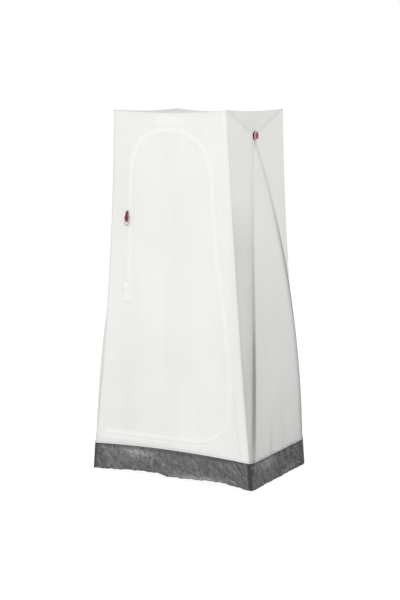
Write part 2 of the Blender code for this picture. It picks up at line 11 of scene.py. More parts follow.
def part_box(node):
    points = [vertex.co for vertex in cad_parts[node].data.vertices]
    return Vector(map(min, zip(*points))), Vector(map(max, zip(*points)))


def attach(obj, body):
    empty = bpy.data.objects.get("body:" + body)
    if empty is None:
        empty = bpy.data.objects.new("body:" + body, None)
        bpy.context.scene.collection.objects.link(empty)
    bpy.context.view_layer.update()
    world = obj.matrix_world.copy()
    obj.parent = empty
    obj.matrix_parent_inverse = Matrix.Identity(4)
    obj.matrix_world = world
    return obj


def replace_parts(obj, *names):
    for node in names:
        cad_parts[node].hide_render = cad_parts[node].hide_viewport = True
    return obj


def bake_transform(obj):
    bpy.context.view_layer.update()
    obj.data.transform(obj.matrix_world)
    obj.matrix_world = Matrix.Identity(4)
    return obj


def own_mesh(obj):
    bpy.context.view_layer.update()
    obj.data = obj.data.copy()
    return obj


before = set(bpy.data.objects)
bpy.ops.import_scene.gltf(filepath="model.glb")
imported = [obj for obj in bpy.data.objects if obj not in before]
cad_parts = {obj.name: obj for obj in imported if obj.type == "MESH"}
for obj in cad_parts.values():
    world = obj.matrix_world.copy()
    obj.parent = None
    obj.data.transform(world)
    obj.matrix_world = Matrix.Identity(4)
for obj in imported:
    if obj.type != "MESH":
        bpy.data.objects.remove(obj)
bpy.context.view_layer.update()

# Cover, in metres, its main sizes from the frame. A bow or sag is how far an edge pulls in.
ROOF_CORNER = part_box("roof")[1]
HEIGHT = ROOF_CORNER.z
TOP_X = ROOF_CORNER.x
BASE_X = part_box("floor")[1].x
HALF_DEPTH = ROOF_CORNER.y
SEAM_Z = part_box("front_wall")[0].z
TILT = (BASE_X - TOP_X) / HEIGHT
CLOTH = 0.0009
CLOTH_CELL = 0.0085
BACK_CELL = 0.012
SIDE_BOW = 0.013
DEPTH_BOW = 0.013
PLAN_BOW = 0.005
ROOF_SAG_FRONT = 0.013
ROOF_SAG_SIDE = 0.007
POCKET_Z = (1.424, 1.482)

# Hub, legs and arms, from the frame
KNOB_LOW, KNOB_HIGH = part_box("right_knob")
HUB_Z = (KNOB_LOW.z + KNOB_HIGH.z) / 2
HUB_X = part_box("right_hub")[1].x + 0.0016
LEG_TOP_Z = HUB_Z - 0.019
LEG_TOP_Y = 0.009
LEG_FOOT_Y = 0.230
ARM_SLOPE = (HEIGHT - HUB_Z) / HALF_DEPTH
RIDGE_SOFT = 0.005

# Door and zip
ZIP_START = (-0.335, 0.142)
ZIP_END = (-0.203, 0.720)
SEAM_GAP = 0.0003
TAPE_WIDTH = 0.0055
BAND_WIDTH = 0.022
BAND_BOTTOM = 0.036
BAND_RISE = 0.0016
BAND_COLUMNS = 21
TEETH = {"wide": 0.0016, "tall": 0.0004, "step": 0.0009, "pitch": 3}
SLIDER_BELOW = 0.009
FORK_DEEP = 0.0050
RING_WIRE = 0.0011

# Skirt, and the cloth's hem over it
SHEET = 0.0006
SHEET_CELL = 0.0034
SEAM_ARCH = 0.012
# Strength of the painted shade and painted highlights on the flanks of the skirt's creases
CREASE_PAINTED_LIGHT = 1.8
BACK_LIFT = 0.7
SIDE_LIFT = 0.25
HEM_HIGH = 0.0085
HEM_RISE = 0.0009

# Lift of the front skirt's bottom edge off the ground: (place from -1 to 1 across, lift)
LIFTS = (
    (-1.0, 0.0), (-0.78, 0.005), (-0.46, 0.015), (-0.16, 0.017), (-0.03, 0.007), (0.08, 0.009),
    (0.36, 0.013), (0.60, 0.017), (0.80, 0.009), (0.93, 0.001), (1.0, 0.0),
)
# Upright folds low on the front's right and across the sides: (place at the seam, lean, width, height)
FRONT_FOLDS = (
    (0.318, -0.055, 0.010, 0.0042), (0.345, -0.075, 0.007, 0.0026),
    (0.298, -0.045, 0.008, -0.0034), (0.270, -0.030, 0.007, 0.0016),
)
SIDE_FOLDS = (
    (-0.165, 0.10, 0.009, 0.0034), (-0.110, 0.06, 0.012, 0.0028), (-0.055, 0.03, 0.008, -0.0024),
    (0.005, -0.02, 0.011, 0.0036), (0.062, -0.05, 0.008, 0.0034), (0.105, -0.09, 0.010, -0.0026),
    (0.150, -0.12, 0.009, 0.0034),
)
# Painted shade in the troughs between the side's folds: (place at the seam, lean, width, top, depth of
# shade)
TROUGHS = (
    (-0.17, 0.05, 0.006, 0.30, 0.216), (-0.08, 0.03, 0.005, 0.24, 0.189),
    (-0.02, 0.02, 0.004, 0.20, 0.162), (0.035, -0.02, 0.007, 0.36, 0.2295),
    (0.075, -0.04, 0.004, 0.22, 0.2025), (0.120, -0.05, 0.006, 0.28, 0.297),
    (0.165, -0.06, 0.005, 0.20, 0.243),
)
# Strength of the painted shadow of a rod on the side: (height, front leg, back leg)
ROD_SHADOW = (
    (0.10, 0.34, 0.36), (0.20, 0.52, 0.60), (0.28, 0.63, 0.74), (0.40, 0.67, 0.80), (0.56, 0.63, 0.80),
    (0.68, 0.44, 0.86), (0.82, 0.35, 0.84), (0.97, 0.20, 0.66), (1.13, 0.15, 0.30), (1.37, 0.12, 0.16),
)


# ---- small helpers ----


def unit(value):
    return np.clip(value, 0, 1)


def joined(*axes):
    """Points from separate coordinates; a single number serves every point."""
    return np.stack(np.broadcast_arrays(*axes), axis=1)


def hump(distance, width):
    """1 on a line, falling smoothly to 0 on both sides."""
    return np.exp(-((distance / width) ** 2))


def soft_box(value, low, high, edge):
    """1 between two values, fading to 0 outside them."""
    return unit((value - low) / edge + 0.5) * unit((high - value) / edge + 0.5)


def hermite(t, start, end, start_slope, end_slope):
    return (
        (2 * t**3 - 3 * t**2 + 1) * start
        + (t**3 - 2 * t**2 + t) * start_slope
        + (3 * t**2 - 2 * t**3) * end
        + (t**3 - t**2) * end_slope
    )


def bezier(p0, p1, p2, p3, steps):
    found = []
    for i in range(1, steps + 1):
        t = i / steps
        a, b, c, d = (1 - t) ** 3, 3 * (1 - t) ** 2 * t, 3 * (1 - t) * t**2, t**3
        found.append(tuple(a * p0[k] + b * p1[k] + c * p2[k] + d * p3[k] for k in (0, 1)))
    return found


def resample(points, spacing):
    """The same line with its points evenly spaced."""
    path = np.array(points, float)
    lengths = np.r_[0, np.cumsum(np.linalg.norm(np.diff(path, axis=0), axis=1))]
    count = max(2, int(round(lengths[-1] / spacing)) + 1)
    at = np.linspace(0, lengths[-1], count)
    return joined(*(np.interp(at, lengths, path[:, k]) for k in (0, 1)))


def sideways(path):
    """Unit vectors to the left of a line, towards the door's middle."""
    along = np.gradient(path, axis=0)
    along /= np.linalg.norm(along, axis=1)[:, None]
    return joined(-along[:, 1], along[:, 0])


# ---- the cover's lines ----


def half_width(z):
    return BASE_X - TILT * z


def bow(z):
    """How far the upright edges pull in at a height, 0 at the seam and the top and 1 between."""
    return np.sin(math.pi * unit((z - SEAM_Z) / (HEIGHT - SEAM_Z))) ** 0.8


def edge_x(z):
    return half_width(z) - SIDE_BOW * bow(z)


def edge_y(z):
    return HALF_DEPTH - DEPTH_BOW * bow(z)


def down_leg(z):
    """0 at the top of a leg and 1 at the ground."""
    return unit((LEG_TOP_Z - z) / LEG_TOP_Z)


def leg_y(z):
    """Distance of a leg from the middle plane at a height."""
    return hermite(down_leg(z), LEG_TOP_Y, LEG_FOOT_Y, 2.15 * LEG_FOOT_Y, 0.3 * LEG_FOOT_Y)


def ridge_x(z):
    """Outer face of the side cloth over a leg at a height."""
    pinched = HUB_X - half_width(LEG_TOP_Z)
    over_leg = half_width(z) + hermite(down_leg(z), pinched, 0.0, 0.125, -0.150)
    return np.where(z > LEG_TOP_Z, HUB_X, over_leg)


def seam_z(t):
    """Height of the seam over the front and back skirts, which the taut cloth pulls up in the middle."""
    return SEAM_Z + SEAM_ARCH * (1 - t**2)


def top_z_front(t):
    """Height of the front top edge, t from -1 to 1 across."""
    return HEIGHT - ROOF_SAG_FRONT * (1 - t**2)


def top_z_side(t):
    return HEIGHT - ROOF_SAG_SIDE * (1 - t**2)


def zip_line():
    """The zip as (x, z): from low left along the bottom, up the right, over and down the left."""
    corner = (0.110, 0.146)
    right = (0.283, 0.330)
    shoulder = (0.200, 1.210)
    crown = (0.0, 1.424)
    left = (-0.190, 1.240)
    points = [ZIP_START, corner]
    points += bezier(corner, (0.230, 0.150), (0.281, 0.205), right, 18)
    points += bezier(right, (0.285, 0.620), (0.201, 0.920), shoulder, 28)
    points += bezier(shoulder, (0.200, 1.345), (0.115, 1.424), crown, 22)
    points += bezier(crown, (-0.112, 1.424), (-0.185, 1.370), left, 22)
    return points + [ZIP_END]


# ---- surfaces ----


def front_depth(x, z):
    """Y of the front cloth at a point seen from the front."""
    x, z = np.asarray(x, float), np.asarray(z, float)
    across = np.clip(x / edge_x(z), -1, 1)
    sag = DEPTH_BOW * bow(z) * (0.12 + 0.88 * across**4)
    top = PLAN_BOW * (1 - across**2) * np.exp(-(HEIGHT - z) / 0.20)
    return -HALF_DEPTH + sag + top - front_wrinkles(x, z)


def front_wrinkles(x, z):
    """Outward swell of the front cloth: pulls from the corners, and upright folds low at the right."""
    swell = np.zeros_like(x)
    low = unit((0.75 - z) / 0.55) ** 1.3 * unit((z - 0.09) / 0.05)
    for place, lean, width, height in FRONT_FOLDS:
        swell += height * low * hump(x - place - lean * (z - 0.1), width)
    high = unit((z - 1.30) / 0.12) * unit((1.485 - z) / 0.02)
    for level, height in ((1.452, 0.0009), (1.436, 0.0007), (1.424, -0.0006)):
        arch = level + 0.05 * (x / TOP_X) ** 2
        swell += height * high * hump(z - arch, 0.0045) * unit(1.1 - np.abs(x / TOP_X))
    for side in (-1, 1):
        reach = np.hypot(x - side * TOP_X, z - HEIGHT)
        angle = np.arctan2(HEIGHT - z, (TOP_X - side * x) + 1e-6)
        for turn, height in ((0.50, 0.0010), (0.85, 0.0013), (1.18, 0.0009)):
            swell += height * hump(angle - turn, 0.07) * unit(reach / 0.05) * hump(reach, 0.22)
    return swell


def side_out(y, z):
    """X of the right side cloth at a point seen from the side."""
    y, z = np.asarray(y, float), np.asarray(z, float)
    away = np.abs(y)
    return np.where(z <= HUB_Z, side_below(away, z), side_above(away, z)) + side_wrinkles(y, z)


def side_below(away, z):
    """Below the hub: taut between the two legs, and from each leg out to the upright edge."""
    peak = ridge_x(z)
    spread = leg_y(z)
    beyond = (away - spread + np.sqrt((away - spread) ** 2 + RIDGE_SOFT**2)) / 2
    room = edge_y(z) - spread
    full = (room + np.sqrt(room**2 + RIDGE_SOFT**2)) / 2
    middle = unit(1 - (away / np.maximum(spread, 0.01)) ** 2)
    sag = 0.0035 * middle * unit(spread / 0.12) * unit((z - SEAM_Z) / 0.2)
    return peak - (peak - edge_x(z)) * beyond / full - sag


def side_above(away, z):
    """Above the hub: a panel up to the top edge and one out to the upright edge, meeting over the arm."""
    reach = unit(away / HALF_DEPTH)
    arm_z = HUB_Z + away * ARM_SLOPE
    arm_x = HUB_X + (TOP_X - HUB_X) * reach
    up = unit((z - arm_z) / np.maximum(top_z_side(reach) - arm_z, 1e-4))
    top_x = TOP_X - PLAN_BOW * (1 - reach**2)
    panel = arm_x + (top_x - arm_x) * up
    arm_away = np.clip((z - HUB_Z) / ARM_SLOPE, 0, HALF_DEPTH)
    arm_there = HUB_X + (TOP_X - HUB_X) * arm_away / HALF_DEPTH
    across = unit((away - arm_away) / np.maximum(edge_y(z) - arm_away, 1e-4))
    outer = arm_there + (edge_x(z) - arm_there) * across
    return np.where(away < arm_away, panel, outer)


def side_wrinkles(y, z):
    """Soft upright folds that fan up from the seam, and small pulls round the hub."""
    swell = np.zeros_like(y)
    low = unit((0.62 - z) / 0.45) ** 1.4 * unit((z - 0.09) / 0.04)
    for place, lean, width, height in SIDE_FOLDS:
        swell += height * low * hump(y - place - lean * (z - 0.1), width * (1 + 0.8 * (z - 0.1)))
    reach = np.hypot(y, z - HUB_Z)
    angle = np.arctan2(z - HUB_Z, np.abs(y) + 1e-6)
    near = unit((reach - 0.017) / 0.03) * hump(reach, 0.16)
    for turn, height in ((-0.2, 0.0009), (0.38, -0.0016), (-0.75, -0.0008)):
        swell += height * hump(angle - turn, 0.09) * near
    return swell


# ---- mesh helpers ----


def grid(columns, rows, low=-1):
    """Values from low to 1 across and up a grid, as two flat arrays."""
    u, v = np.meshgrid(np.linspace(low, 1, columns), np.linspace(low, 1, rows))
    return u.ravel(), v.ravel()


def circle(steps):
    """Cosine and sine of evenly spaced angles, once round."""
    return [(math.cos(a), math.sin(a)) for a in (2 * math.pi * k / steps for k in range(steps))]


def linked(name, mesh, material):
    """An object in the scene with its material."""
    made = bpy.data.objects.new(name, mesh)
    bpy.context.scene.collection.objects.link(made)
    mesh.materials.append(material)
    return made


def smoothed(made):
    made.data.shade_smooth()
    made.data.set_sharp_from_angle(angle=math.radians(40))
    return made


def new_piece(name, points, faces, material, thickness, offset):
    """An open sheet of points and faces, made a closed shell by its thickness."""
    mesh = bpy.data.meshes.new(name)
    mesh.from_pydata([tuple(p) for p in points], [], [tuple(f) for f in faces])
    mesh.validate()
    made = linked(name, mesh, material)
    solid = made.modifiers.new("Thickness", "SOLIDIFY")
    solid.thickness = thickness
    solid.offset = offset
    solid.use_even_offset = False
    bpy.context.view_layer.update()
    graph = bpy.context.evaluated_depsgraph_get()
    made.data = bpy.data.meshes.new_from_object(made.evaluated_get(graph))
    made.modifiers.clear()
    bpy.data.meshes.remove(mesh)
    return smoothed(made)


def sheet(name, points, rows, material, thickness, offset=-1):
    """A closed sheet from a grid of points, given row by row."""
    columns = len(points) // rows
    corners = (i * columns + j for i in range(rows - 1) for j in range(columns - 1))
    faces = [(a, a + 1, a + columns + 1, a + columns) for a in corners]
    return new_piece(name, points, faces, material, thickness, offset)


def from_bmesh(name, bm, material):
    mesh = bpy.data.meshes.new(name)
    bm.to_mesh(mesh)
    bm.free()
    return smoothed(linked(name, mesh, material))


def set_look(made, shade=0.0, glow=0.0):
    """Point attributes that darken or brighten the material; a sheet's inner layer repeats the outer."""
    count = len(made.data.vertices)
    for name, values in (("shade", shade), ("glow", glow)):
        layer = made.data.attributes.new(name, "FLOAT", "POINT")
        layer.data.foreach_set("value", np.resize(values, count).astype(np.float32))


def points_of(made):
    co = np.empty(len(made.data.vertices) * 3, np.float32)
    made.data.vertices.foreach_get("co", co)
    return co.reshape(-1, 3).astype(float)


def fill_outline(loops, spacing):
    """Triangles over an even grid inside closed (x, z) outlines, the first the edge and the rest holes."""
    verts, edges = [], []
    for loop in loops:
        start = len(verts)
        verts += [tuple(map(float, p)) for p in loop]
        count = len(loop)
        edges += [(start + i, start + (i + 1) % count) for i in range(count)]
    border = np.concatenate([np.array(loop) for loop in loops])
    low, high = np.array(loops[0]).min(0), np.array(loops[0]).max(0)
    xs = np.arange(low[0] + spacing / 2, high[0], spacing)
    zs = np.arange(low[1] + spacing / 2, high[1], spacing)
    for row, z in enumerate(zs):
        for x in xs + (spacing / 2 if row % 2 else 0):
            if np.min(np.abs(border - (x, z)).sum(1)) > spacing * 0.55:
                verts.append((float(x), float(z)))
    found = geometry.delaunay_2d_cdt([Vector(v) for v in verts], edges, [], 0, 1e-6)
    points = np.array([(v.x, v.y) for v in found[0]])
    triangles = np.array(found[2])
    middles = points[triangles].mean(1)
    keep = inside(middles, loops[0])
    for hole in loops[1:]:
        keep &= ~inside(middles, hole)
    triangles = triangles[keep]
    used = np.unique(triangles)
    again = np.full(len(points), -1)
    again[used] = np.arange(len(used))
    return points[used], again[triangles]


def inside(points, loop):
    """Even-odd test of many points in one closed outline."""
    ring = np.array(loop, float)
    result = np.zeros(len(points), bool)
    for (ax, az), (bx, bz) in zip(ring, np.roll(ring, -1, axis=0)):
        crosses = (az > points[:, 1]) != (bz > points[:, 1])
        if abs(bz - az) > 1e-12:
            at = ax + (points[:, 1] - az) * (bx - ax) / (bz - az)
            result ^= crosses & (points[:, 0] < at)
    return result


def onto_front(flat, rise=0.0):
    """Flat (x, z) points laid on the front cloth, standing out by a rise."""
    x, z = flat.T
    return joined(x, front_depth(x, z) - rise, z)


def loft(bm, loops, closed=False):
    """Faces between loops of points, capped at both ends unless the last loop joins the first."""
    made = [[bm.verts.new(p) for p in loop] for loop in loops]
    faces = []
    for a, b in zip(made, made[1:] + made[:1] if closed else made[1:]):
        for k in range(len(a)):
            m = (k + 1) % len(a)
            faces.append(bm.faces.new((a[k], a[m], b[m], b[k])))
    if not closed:
        faces += [bm.faces.new(made[0]), bm.faces.new(made[-1][::-1])]
    bmesh.ops.recalc_face_normals(bm, faces=faces)


def rounded_box(bm, low, high, radius):
    """Adds a box with rounded edges to a bmesh."""
    made = bmesh.ops.create_cube(bm, size=1)
    low, high = Vector(low), Vector(high)
    bmesh.ops.scale(bm, vec=high - low, verts=made["verts"])
    bmesh.ops.translate(bm, vec=(low + high) / 2, verts=made["verts"])
    edges = {e for v in made["verts"] for e in v.link_edges}
    bmesh.ops.bevel(bm, geom=list(edges), offset=radius, segments=3, affect="EDGES", profile=0.5)


def move_with(made, body):
    """Rides a body; a piece on the hubs' body also gets a mesh of its own."""
    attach(made, body)
    if body == "frame_centre":
        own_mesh(made)
    return made


def bend_with_door(made):
    """Bakes the piece's placement into its mesh."""
    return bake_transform(made)


# ---- materials ----


class Nodes:
    """Short calls for building one material's node tree."""

    def __init__(self, name):
        self.material = bpy.data.materials.new(name)
        self.material.use_nodes = True
        self.tree = self.material.node_tree
        self.shader = self.tree.nodes["Principled BSDF"]
        self.position = self.add("ShaderNodeNewGeometry").outputs["Position"]

    def add(self, kind, inputs=None, **settings):
        """A new node; each of its inputs is another node's output or a value."""
        node = self.tree.nodes.new(kind)
        for key, value in settings.items():
            setattr(node, key, value)
        self.feed(node, inputs or {})
        return node

    def feed(self, node, inputs):
        for key, value in inputs.items():
            if isinstance(value, bpy.types.NodeSocket):
                self.tree.links.new(value, node.inputs[key])
            else:
                node.inputs[key].default_value = value

    def math(self, operation, a, b, clamp=False):
        return self.add("ShaderNodeMath", {0: a, 1: b}, operation=operation, use_clamp=clamp).outputs[0]

    def times(self, a, b):
        return self.math("MULTIPLY", a, b)

    def plus(self, a, b):
        return self.math("ADD", a, b)

    def noise(self, scale, detail, rough, stretch=None):
        """Noise in space; a stretch scales each axis, for grain that runs one way."""
        at = self.position
        if stretch:
            at = self.add("ShaderNodeMapping", {"Vector": at, "Scale": stretch}).outputs["Vector"]
        inputs = {"Vector": at, "Scale": scale, "Detail": detail, "Roughness": rough}
        return self.add("ShaderNodeTexNoise", inputs).outputs["Fac"]

    def wave(self, direction, scale, distortion=0.0):
        inputs = {"Vector": self.position, "Scale": scale, "Distortion": distortion}
        return self.add("ShaderNodeTexWave", inputs, bands_direction=direction).outputs["Fac"]

    def ramp(self, source, *stops):
        """A colour ramp through (place, colour) stops, where a single number is a grey."""
        node = self.add("ShaderNodeValToRGB", {"Fac": source})
        ramp = node.color_ramp
        while len(ramp.elements) < len(stops):
            ramp.elements.new(0.5)
        for element, (place, colour) in zip(ramp.elements, stops):
            element.position = place
            element.color = (*colour, 1) if isinstance(colour, tuple) else (colour, colour, colour, 1)
        return node.outputs["Color"]

    def mix(self, factor, a, b):
        colours = {6 + i: (*c, 1) if isinstance(c, tuple) else c for i, c in enumerate((a, b))}
        return self.add("ShaderNodeMix", {"Factor": factor, **colours}, data_type="RGBA").outputs[2]

    def attribute(self, name):
        return self.add("ShaderNodeAttribute", attribute_name=name).outputs["Fac"]

    def finished(self, colour, roughness, height, strength, distance, **others):
        """The material, with its colour, roughness, bump and any other inputs joined up."""
        bump = self.add("ShaderNodeBump", {"Height": height, "Strength": strength, "Distance": distance})
        inputs = {"Base Color": colour, "Roughness": roughness, "Normal": bump.outputs["Normal"]}
        self.feed(self.shader, inputs | {key.replace("_", " "): value for key, value in others.items()})
        return self.material


def tinted(colour, by):
    return tuple(min(1.0, c * by) for c in colour)


def cover_cloth(name, tint=(0.835, 0.830, 0.800)):
    """Plain-woven white polyester: weave, slubs and soft creases with painted shade in their hollows,
    painted shadows of the rods where the shade attribute says so, and warmer over hems, with painted
    highlights, where the glow attribute says so.
    """
    n = Nodes(name)
    weave = n.plus(n.times(n.wave("X", 900), 0.5), n.times(n.wave("Z", 900), 0.5))
    slub = n.noise(70, 4, 0.6, (1, 1, 0.06))
    crease = n.noise(14, 3, 0.55, (1, 1, 0.09))
    base = n.ramp(n.noise(2.6, 2, 0.5), (0.3, tinted(tint, 0.97)), (0.7, tinted(tint, 1.025)))
    # Painted shade: the crease noise darkens the creases' hollows.
    hollow_shade = n.times(n.math("SUBTRACT", crease, 0.42, clamp=True), 0.42)
    creased = n.mix(hollow_shade, base, (0.62, 0.62, 0.60))
    threads = n.mix(n.times(slub, 0.12), creased, (0.70, 0.70, 0.68))
    # The glow attribute paints highlights and warmer second layers; the shade attribute paints shade and
    # the rods' shadows.
    lit = n.mix(n.attribute("glow"), threads, (0.90, 0.87, 0.80))
    shaded = n.mix(n.attribute("shade"), lit, (0.17, 0.175, 0.17))
    height = n.plus(n.plus(n.times(weave, 0.35), n.times(slub, 0.9)), n.times(crease, 9.0))
    return n.finished(shaded, 0.75, height, 0.35, 0.0005, Specular_IOR_Level=0.25, Sheen_Weight=0.12)


def groundsheet():
    """Dark woven polyethylene: flat tapes, creases that catch the light, painted as shade in their hollows
    and highlights on their ridges, bright specks painted as glints, and half gloss.
    """
    n = Nodes("groundsheet")
    tapes = n.plus(n.wave("X", 290, 2.0), n.wave("Z", 290, 2.0))
    crease = n.noise(46, 6, 0.70)
    grain = n.noise(420, 2, 0.6, (1, 1, 0.55))
    base = n.ramp(n.noise(8, 3, 0.6), (0.25, (0.115, 0.118, 0.117)), (0.75, (0.175, 0.179, 0.176)))
    # Painted shade in the creases' hollows and a painted highlight on their ridges.
    crease_hollow_shade = n.ramp(crease, (0.36, 0.75), (0.50, 0.25), (0.66, 0.0))
    folded = n.mix(crease_hollow_shade, base, (0.045, 0.047, 0.048))
    ridges = n.mix(n.ramp(crease, (0.50, 0.0), (0.72, 0.55)), folded, (0.27, 0.275, 0.27))
    grained = n.mix(n.times(grain, 0.45), ridges, (0.065, 0.067, 0.067))
    # Painted glints as bright specks, and painted highlights, where the glow attribute says so; the shade
    # attribute paints shade.
    glint_specks = n.ramp(n.noise(330, 3, 0.7), (0.52, 0.0), (0.60, 1.0))
    lifted = n.mix(n.times(n.attribute("glow"), 0.28), grained, (0.42, 0.43, 0.43))
    sparkled = n.mix(n.times(glint_specks, n.attribute("glow")), lifted, (0.80, 0.80, 0.79))
    shaded = n.mix(n.attribute("shade"), sparkled, (0.020, 0.021, 0.022))
    rough = n.plus(n.times(crease, 0.30), 0.30)
    height = n.plus(n.times(tapes, 0.10), crease)
    return n.finished(shaded, rough, height, 0.6, 0.0040, Specular_IOR_Level=0.45)


def plastic(name, colour, roughness, coat=0.0, highlight_colour=None, shade_colour=None):
    """Moulded plastic with faint flow marks, and a painted highlight and painted shade where the piece's
    attributes say so.
    """
    n = Nodes(name)
    flow = n.noise(120, 3, 0.5)
    base = n.ramp(flow, (0.3, tinted(colour, 0.88)), (0.7, tinted(colour, 1.12)))
    if highlight_colour:
        base = n.mix(n.attribute("glow"), base, highlight_colour)
    if shade_colour:
        base = n.mix(n.attribute("shade"), base, shade_colour)
    return n.finished(base, roughness, flow, 0.05, 0.0004, Coat_Weight=coat)


def steel():
    """Plated tube with fine drawn lines."""
    n = Nodes("plated_steel")
    lines = n.noise(400, 2, 0.7)
    colour = n.ramp(lines, (0.2, (0.50, 0.50, 0.52)), (0.8, (0.72, 0.72, 0.74)))
    return n.finished(colour, n.plus(n.times(lines, 0.2), 0.22), lines, 0.05, 0.0002, Metallic=1.0)


def fibre_rod():
    """Resin-bonded fibre rod: dark, with fine fibres."""
    n = Nodes("fibre_rod")
    fibres = n.noise(260, 4, 0.7)
    colour = n.ramp(fibres, (0.25, (0.045, 0.045, 0.048)), (0.75, (0.11, 0.11, 0.115)))
    return n.finished(colour, 0.38, fibres, 0.12, 0.0003)


def zip_coil():
    """White moulded zip teeth."""
    n = Nodes("zip_coil")
    grain = n.noise(300, 2, 0.5)
    colour = n.ramp(grain, (0.3, (0.80, 0.80, 0.77)), (0.7, (0.88, 0.88, 0.85)))
    return n.finished(colour, 0.5, grain, 0.1, 0.0003)


# ---- front, back, roof and floor ----


def front_outline(spacing):
    """Closed outline of the front cloth from the arched seam to the sagging top edge."""
    rise = np.linspace(SEAM_Z, HEIGHT, int((HEIGHT - SEAM_Z) / spacing))
    right = [(float(edge_x(z)), float(z)) for z in rise]
    across = np.linspace(1, -1, int(2 * TOP_X / spacing))[1:-1]
    top = [(float(t * TOP_X), float(top_z_front(t))) for t in across]
    left = [(-x, z) for x, z in right[::-1]]
    base = np.linspace(-1, 1, int(2 * BASE_X / spacing))[1:-1]
    bottom = [(float(t * edge_x(SEAM_Z)), float(seam_z(t))) for t in base]
    return right + top + left + bottom


def front_shade(points):
    """Darker along the edges and the top hem, below the zip, and low where the side cloth turns in."""
    x, z = points[:, 0], points[:, 2]
    edge = edge_x(z) - np.abs(x)
    hem = top_z_front(x / TOP_X) - z
    at_edge = np.where(x < 0, 0.22, 0.12) + 0.05 * unit((1.0 - z) / 0.6)
    turned_in = hump(edge, 0.032) * (x > 0) * soft_box(z, 0.15, 1.0, 0.2)
    trough = hump(edge - 0.030 - 0.05 * z, 0.009) * (x > 0) * soft_box(z, 0.12, 0.50, 0.1)
    below_zip = soft_box(z, 0.0, ZIP_START[1] - 0.004, 0.008) * unit((0.25 - x) / 0.05)
    low_left = unit(-x / 0.25) * soft_box(z, 0.15, 0.45, 0.12)
    shade = at_edge * hump(edge, 0.005) + 0.05 * hump(hem, 0.008) + 0.020 * unit((-0.05 - x) / 0.15)
    return shade + 0.045 * turned_in + 0.07 * trough + 0.055 * below_zip + 0.025 * low_left


def front_glow(points):
    """Brighter and warmer over a second layer: the corner pockets and the oblong at the top."""
    x, z = points[:, 0], points[:, 2]
    pocket = soft_box(np.abs(x), TOP_X - 0.021, TOP_X - 0.001, 0.0025) * soft_box(z, *POCKET_Z, 0.004)
    oblong = soft_box(x, -0.054, 0.056, 0.004) * soft_box(z, 1.412, 1.470, 0.004)
    below = soft_box(x, -0.035, 0.045, 0.02) * soft_box(z, 1.405, 1.424, 0.006)
    return pocket * np.where(x > 0, 0.9, 0.25) + 0.45 * oblong + 0.3 * below


def front_sheet(name, loops, cell, cloth, turned_round=False):
    """A filled piece of the front, or of the back, which is the front's surface mirrored."""
    flat, faces = fill_outline(loops, cell)
    points = onto_front(flat)
    if turned_round:
        points[:, 1] *= -1
        faces = faces[:, ::-1]
    made = new_piece(name, points, faces, cloth, CLOTH, -1)
    set_look(made, front_shade(points_of(made)), front_glow(points_of(made)))
    return made


def front_and_back(cloth):
    """The fixed front round the door, the door, joined along its low left side, and the plain back."""
    line = resample(zip_line(), CLOTH_CELL)
    taper = np.ones((len(line), 1))
    taper[0] = taper[-1] = 0
    gap = sideways(line) * taper * SEAM_GAP / 2
    attached = straight(line[-1], line[0])
    opening = [tuple(p) for p in line - gap] + attached
    leaf = [tuple(p) for p in line + gap] + attached
    front = front_sheet("front_cloth", [front_outline(CLOTH_CELL), opening], CLOTH_CELL, cloth)
    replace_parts(move_with(front, "front"), "front_wall")
    door = front_sheet("door_cloth", [leaf], CLOTH_CELL, cloth)
    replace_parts(bend_with_door(door), "door_panel")
    back = front_sheet("back_cloth", [front_outline(BACK_CELL)], BACK_CELL, cloth, turned_round=True)
    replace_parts(move_with(back, "back"), "back_wall")


def straight(start, end):
    """Points between two ends, not counting them, spaced like the rest of the cloth."""
    count = int(math.dist(start, end) / CLOTH_CELL)
    return [tuple(start + (end - start) * i / count) for i in range(1, count)]


def roof_cloth(cloth):
    """One sheet that hangs in from four high corners, with three shallow folds across it."""
    rows = 79
    u, v = grid(81, rows)
    x = u * (TOP_X - PLAN_BOW * (1 - v**2))
    y = v * (HALF_DEPTH - PLAN_BOW * (1 - u**2))
    z = HEIGHT - ROOF_SAG_FRONT * (1 - u**2) - ROOF_SAG_SIDE * (1 - v**2)
    for lean, height in ((0.35, 0.0012), (-0.2, 0.0010), (0.7, -0.0008)):
        z = z + height * hump(v - lean * u, 0.07) * (1 - u**2) * (1 - v**2)
    roof = sheet("roof_cloth", joined(x, y, z), rows, cloth, CLOTH)
    at = points_of(roof)
    hem = np.minimum(TOP_X - np.abs(at[:, 0]), HALF_DEPTH - np.abs(at[:, 1]))
    # Painted shade over the whole roof, darker along its hem.
    set_look(roof, 0.12 * hump(hem, 0.010) + 0.26)
    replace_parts(move_with(roof, "frame_centre"), "roof")


def floor_sheet(ground):
    """The groundsheet's floor, which rises to the lifted bottom edge of the skirt all round."""
    rows = 101
    u, v = grid(151, rows)
    x = u * (BASE_X - 0.0015)
    y = v * (HALF_DEPTH - 0.0015)
    ripple = np.array([noise.noise(Vector((a * 9, b * 9, 3.1))) for a, b in zip(x, y)])
    flat_rim = soft_box(np.abs(v), -1, 0.97, 0.03)
    lift = skirt_lift(u) * (hump(y + HALF_DEPTH, 0.13) + BACK_LIFT * hump(y - HALF_DEPTH, 0.13))
    lift += SIDE_LIFT * (skirt_lift(-v) * hump(x - BASE_X, 0.08) + skirt_lift(v) * hump(x + BASE_X, 0.08))
    z = 0.0011 + 0.0009 * (ripple + 1) * flat_rim + lift
    floor = sheet("floor_sheet", joined(x, y, z), rows, ground, SHEET)
    set_look(floor)
    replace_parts(move_with(floor, "frame_centre"), "floor")


# ---- sides ----


def side_heights():
    """Row heights: even below the hub, then close together round it."""
    low = np.linspace(SEAM_Z, HUB_Z - 0.03, 120)[:-1]
    round_hub = np.linspace(HUB_Z - 0.03, HUB_Z + 0.03, 16)[:-1]
    return np.concatenate([low, round_hub])


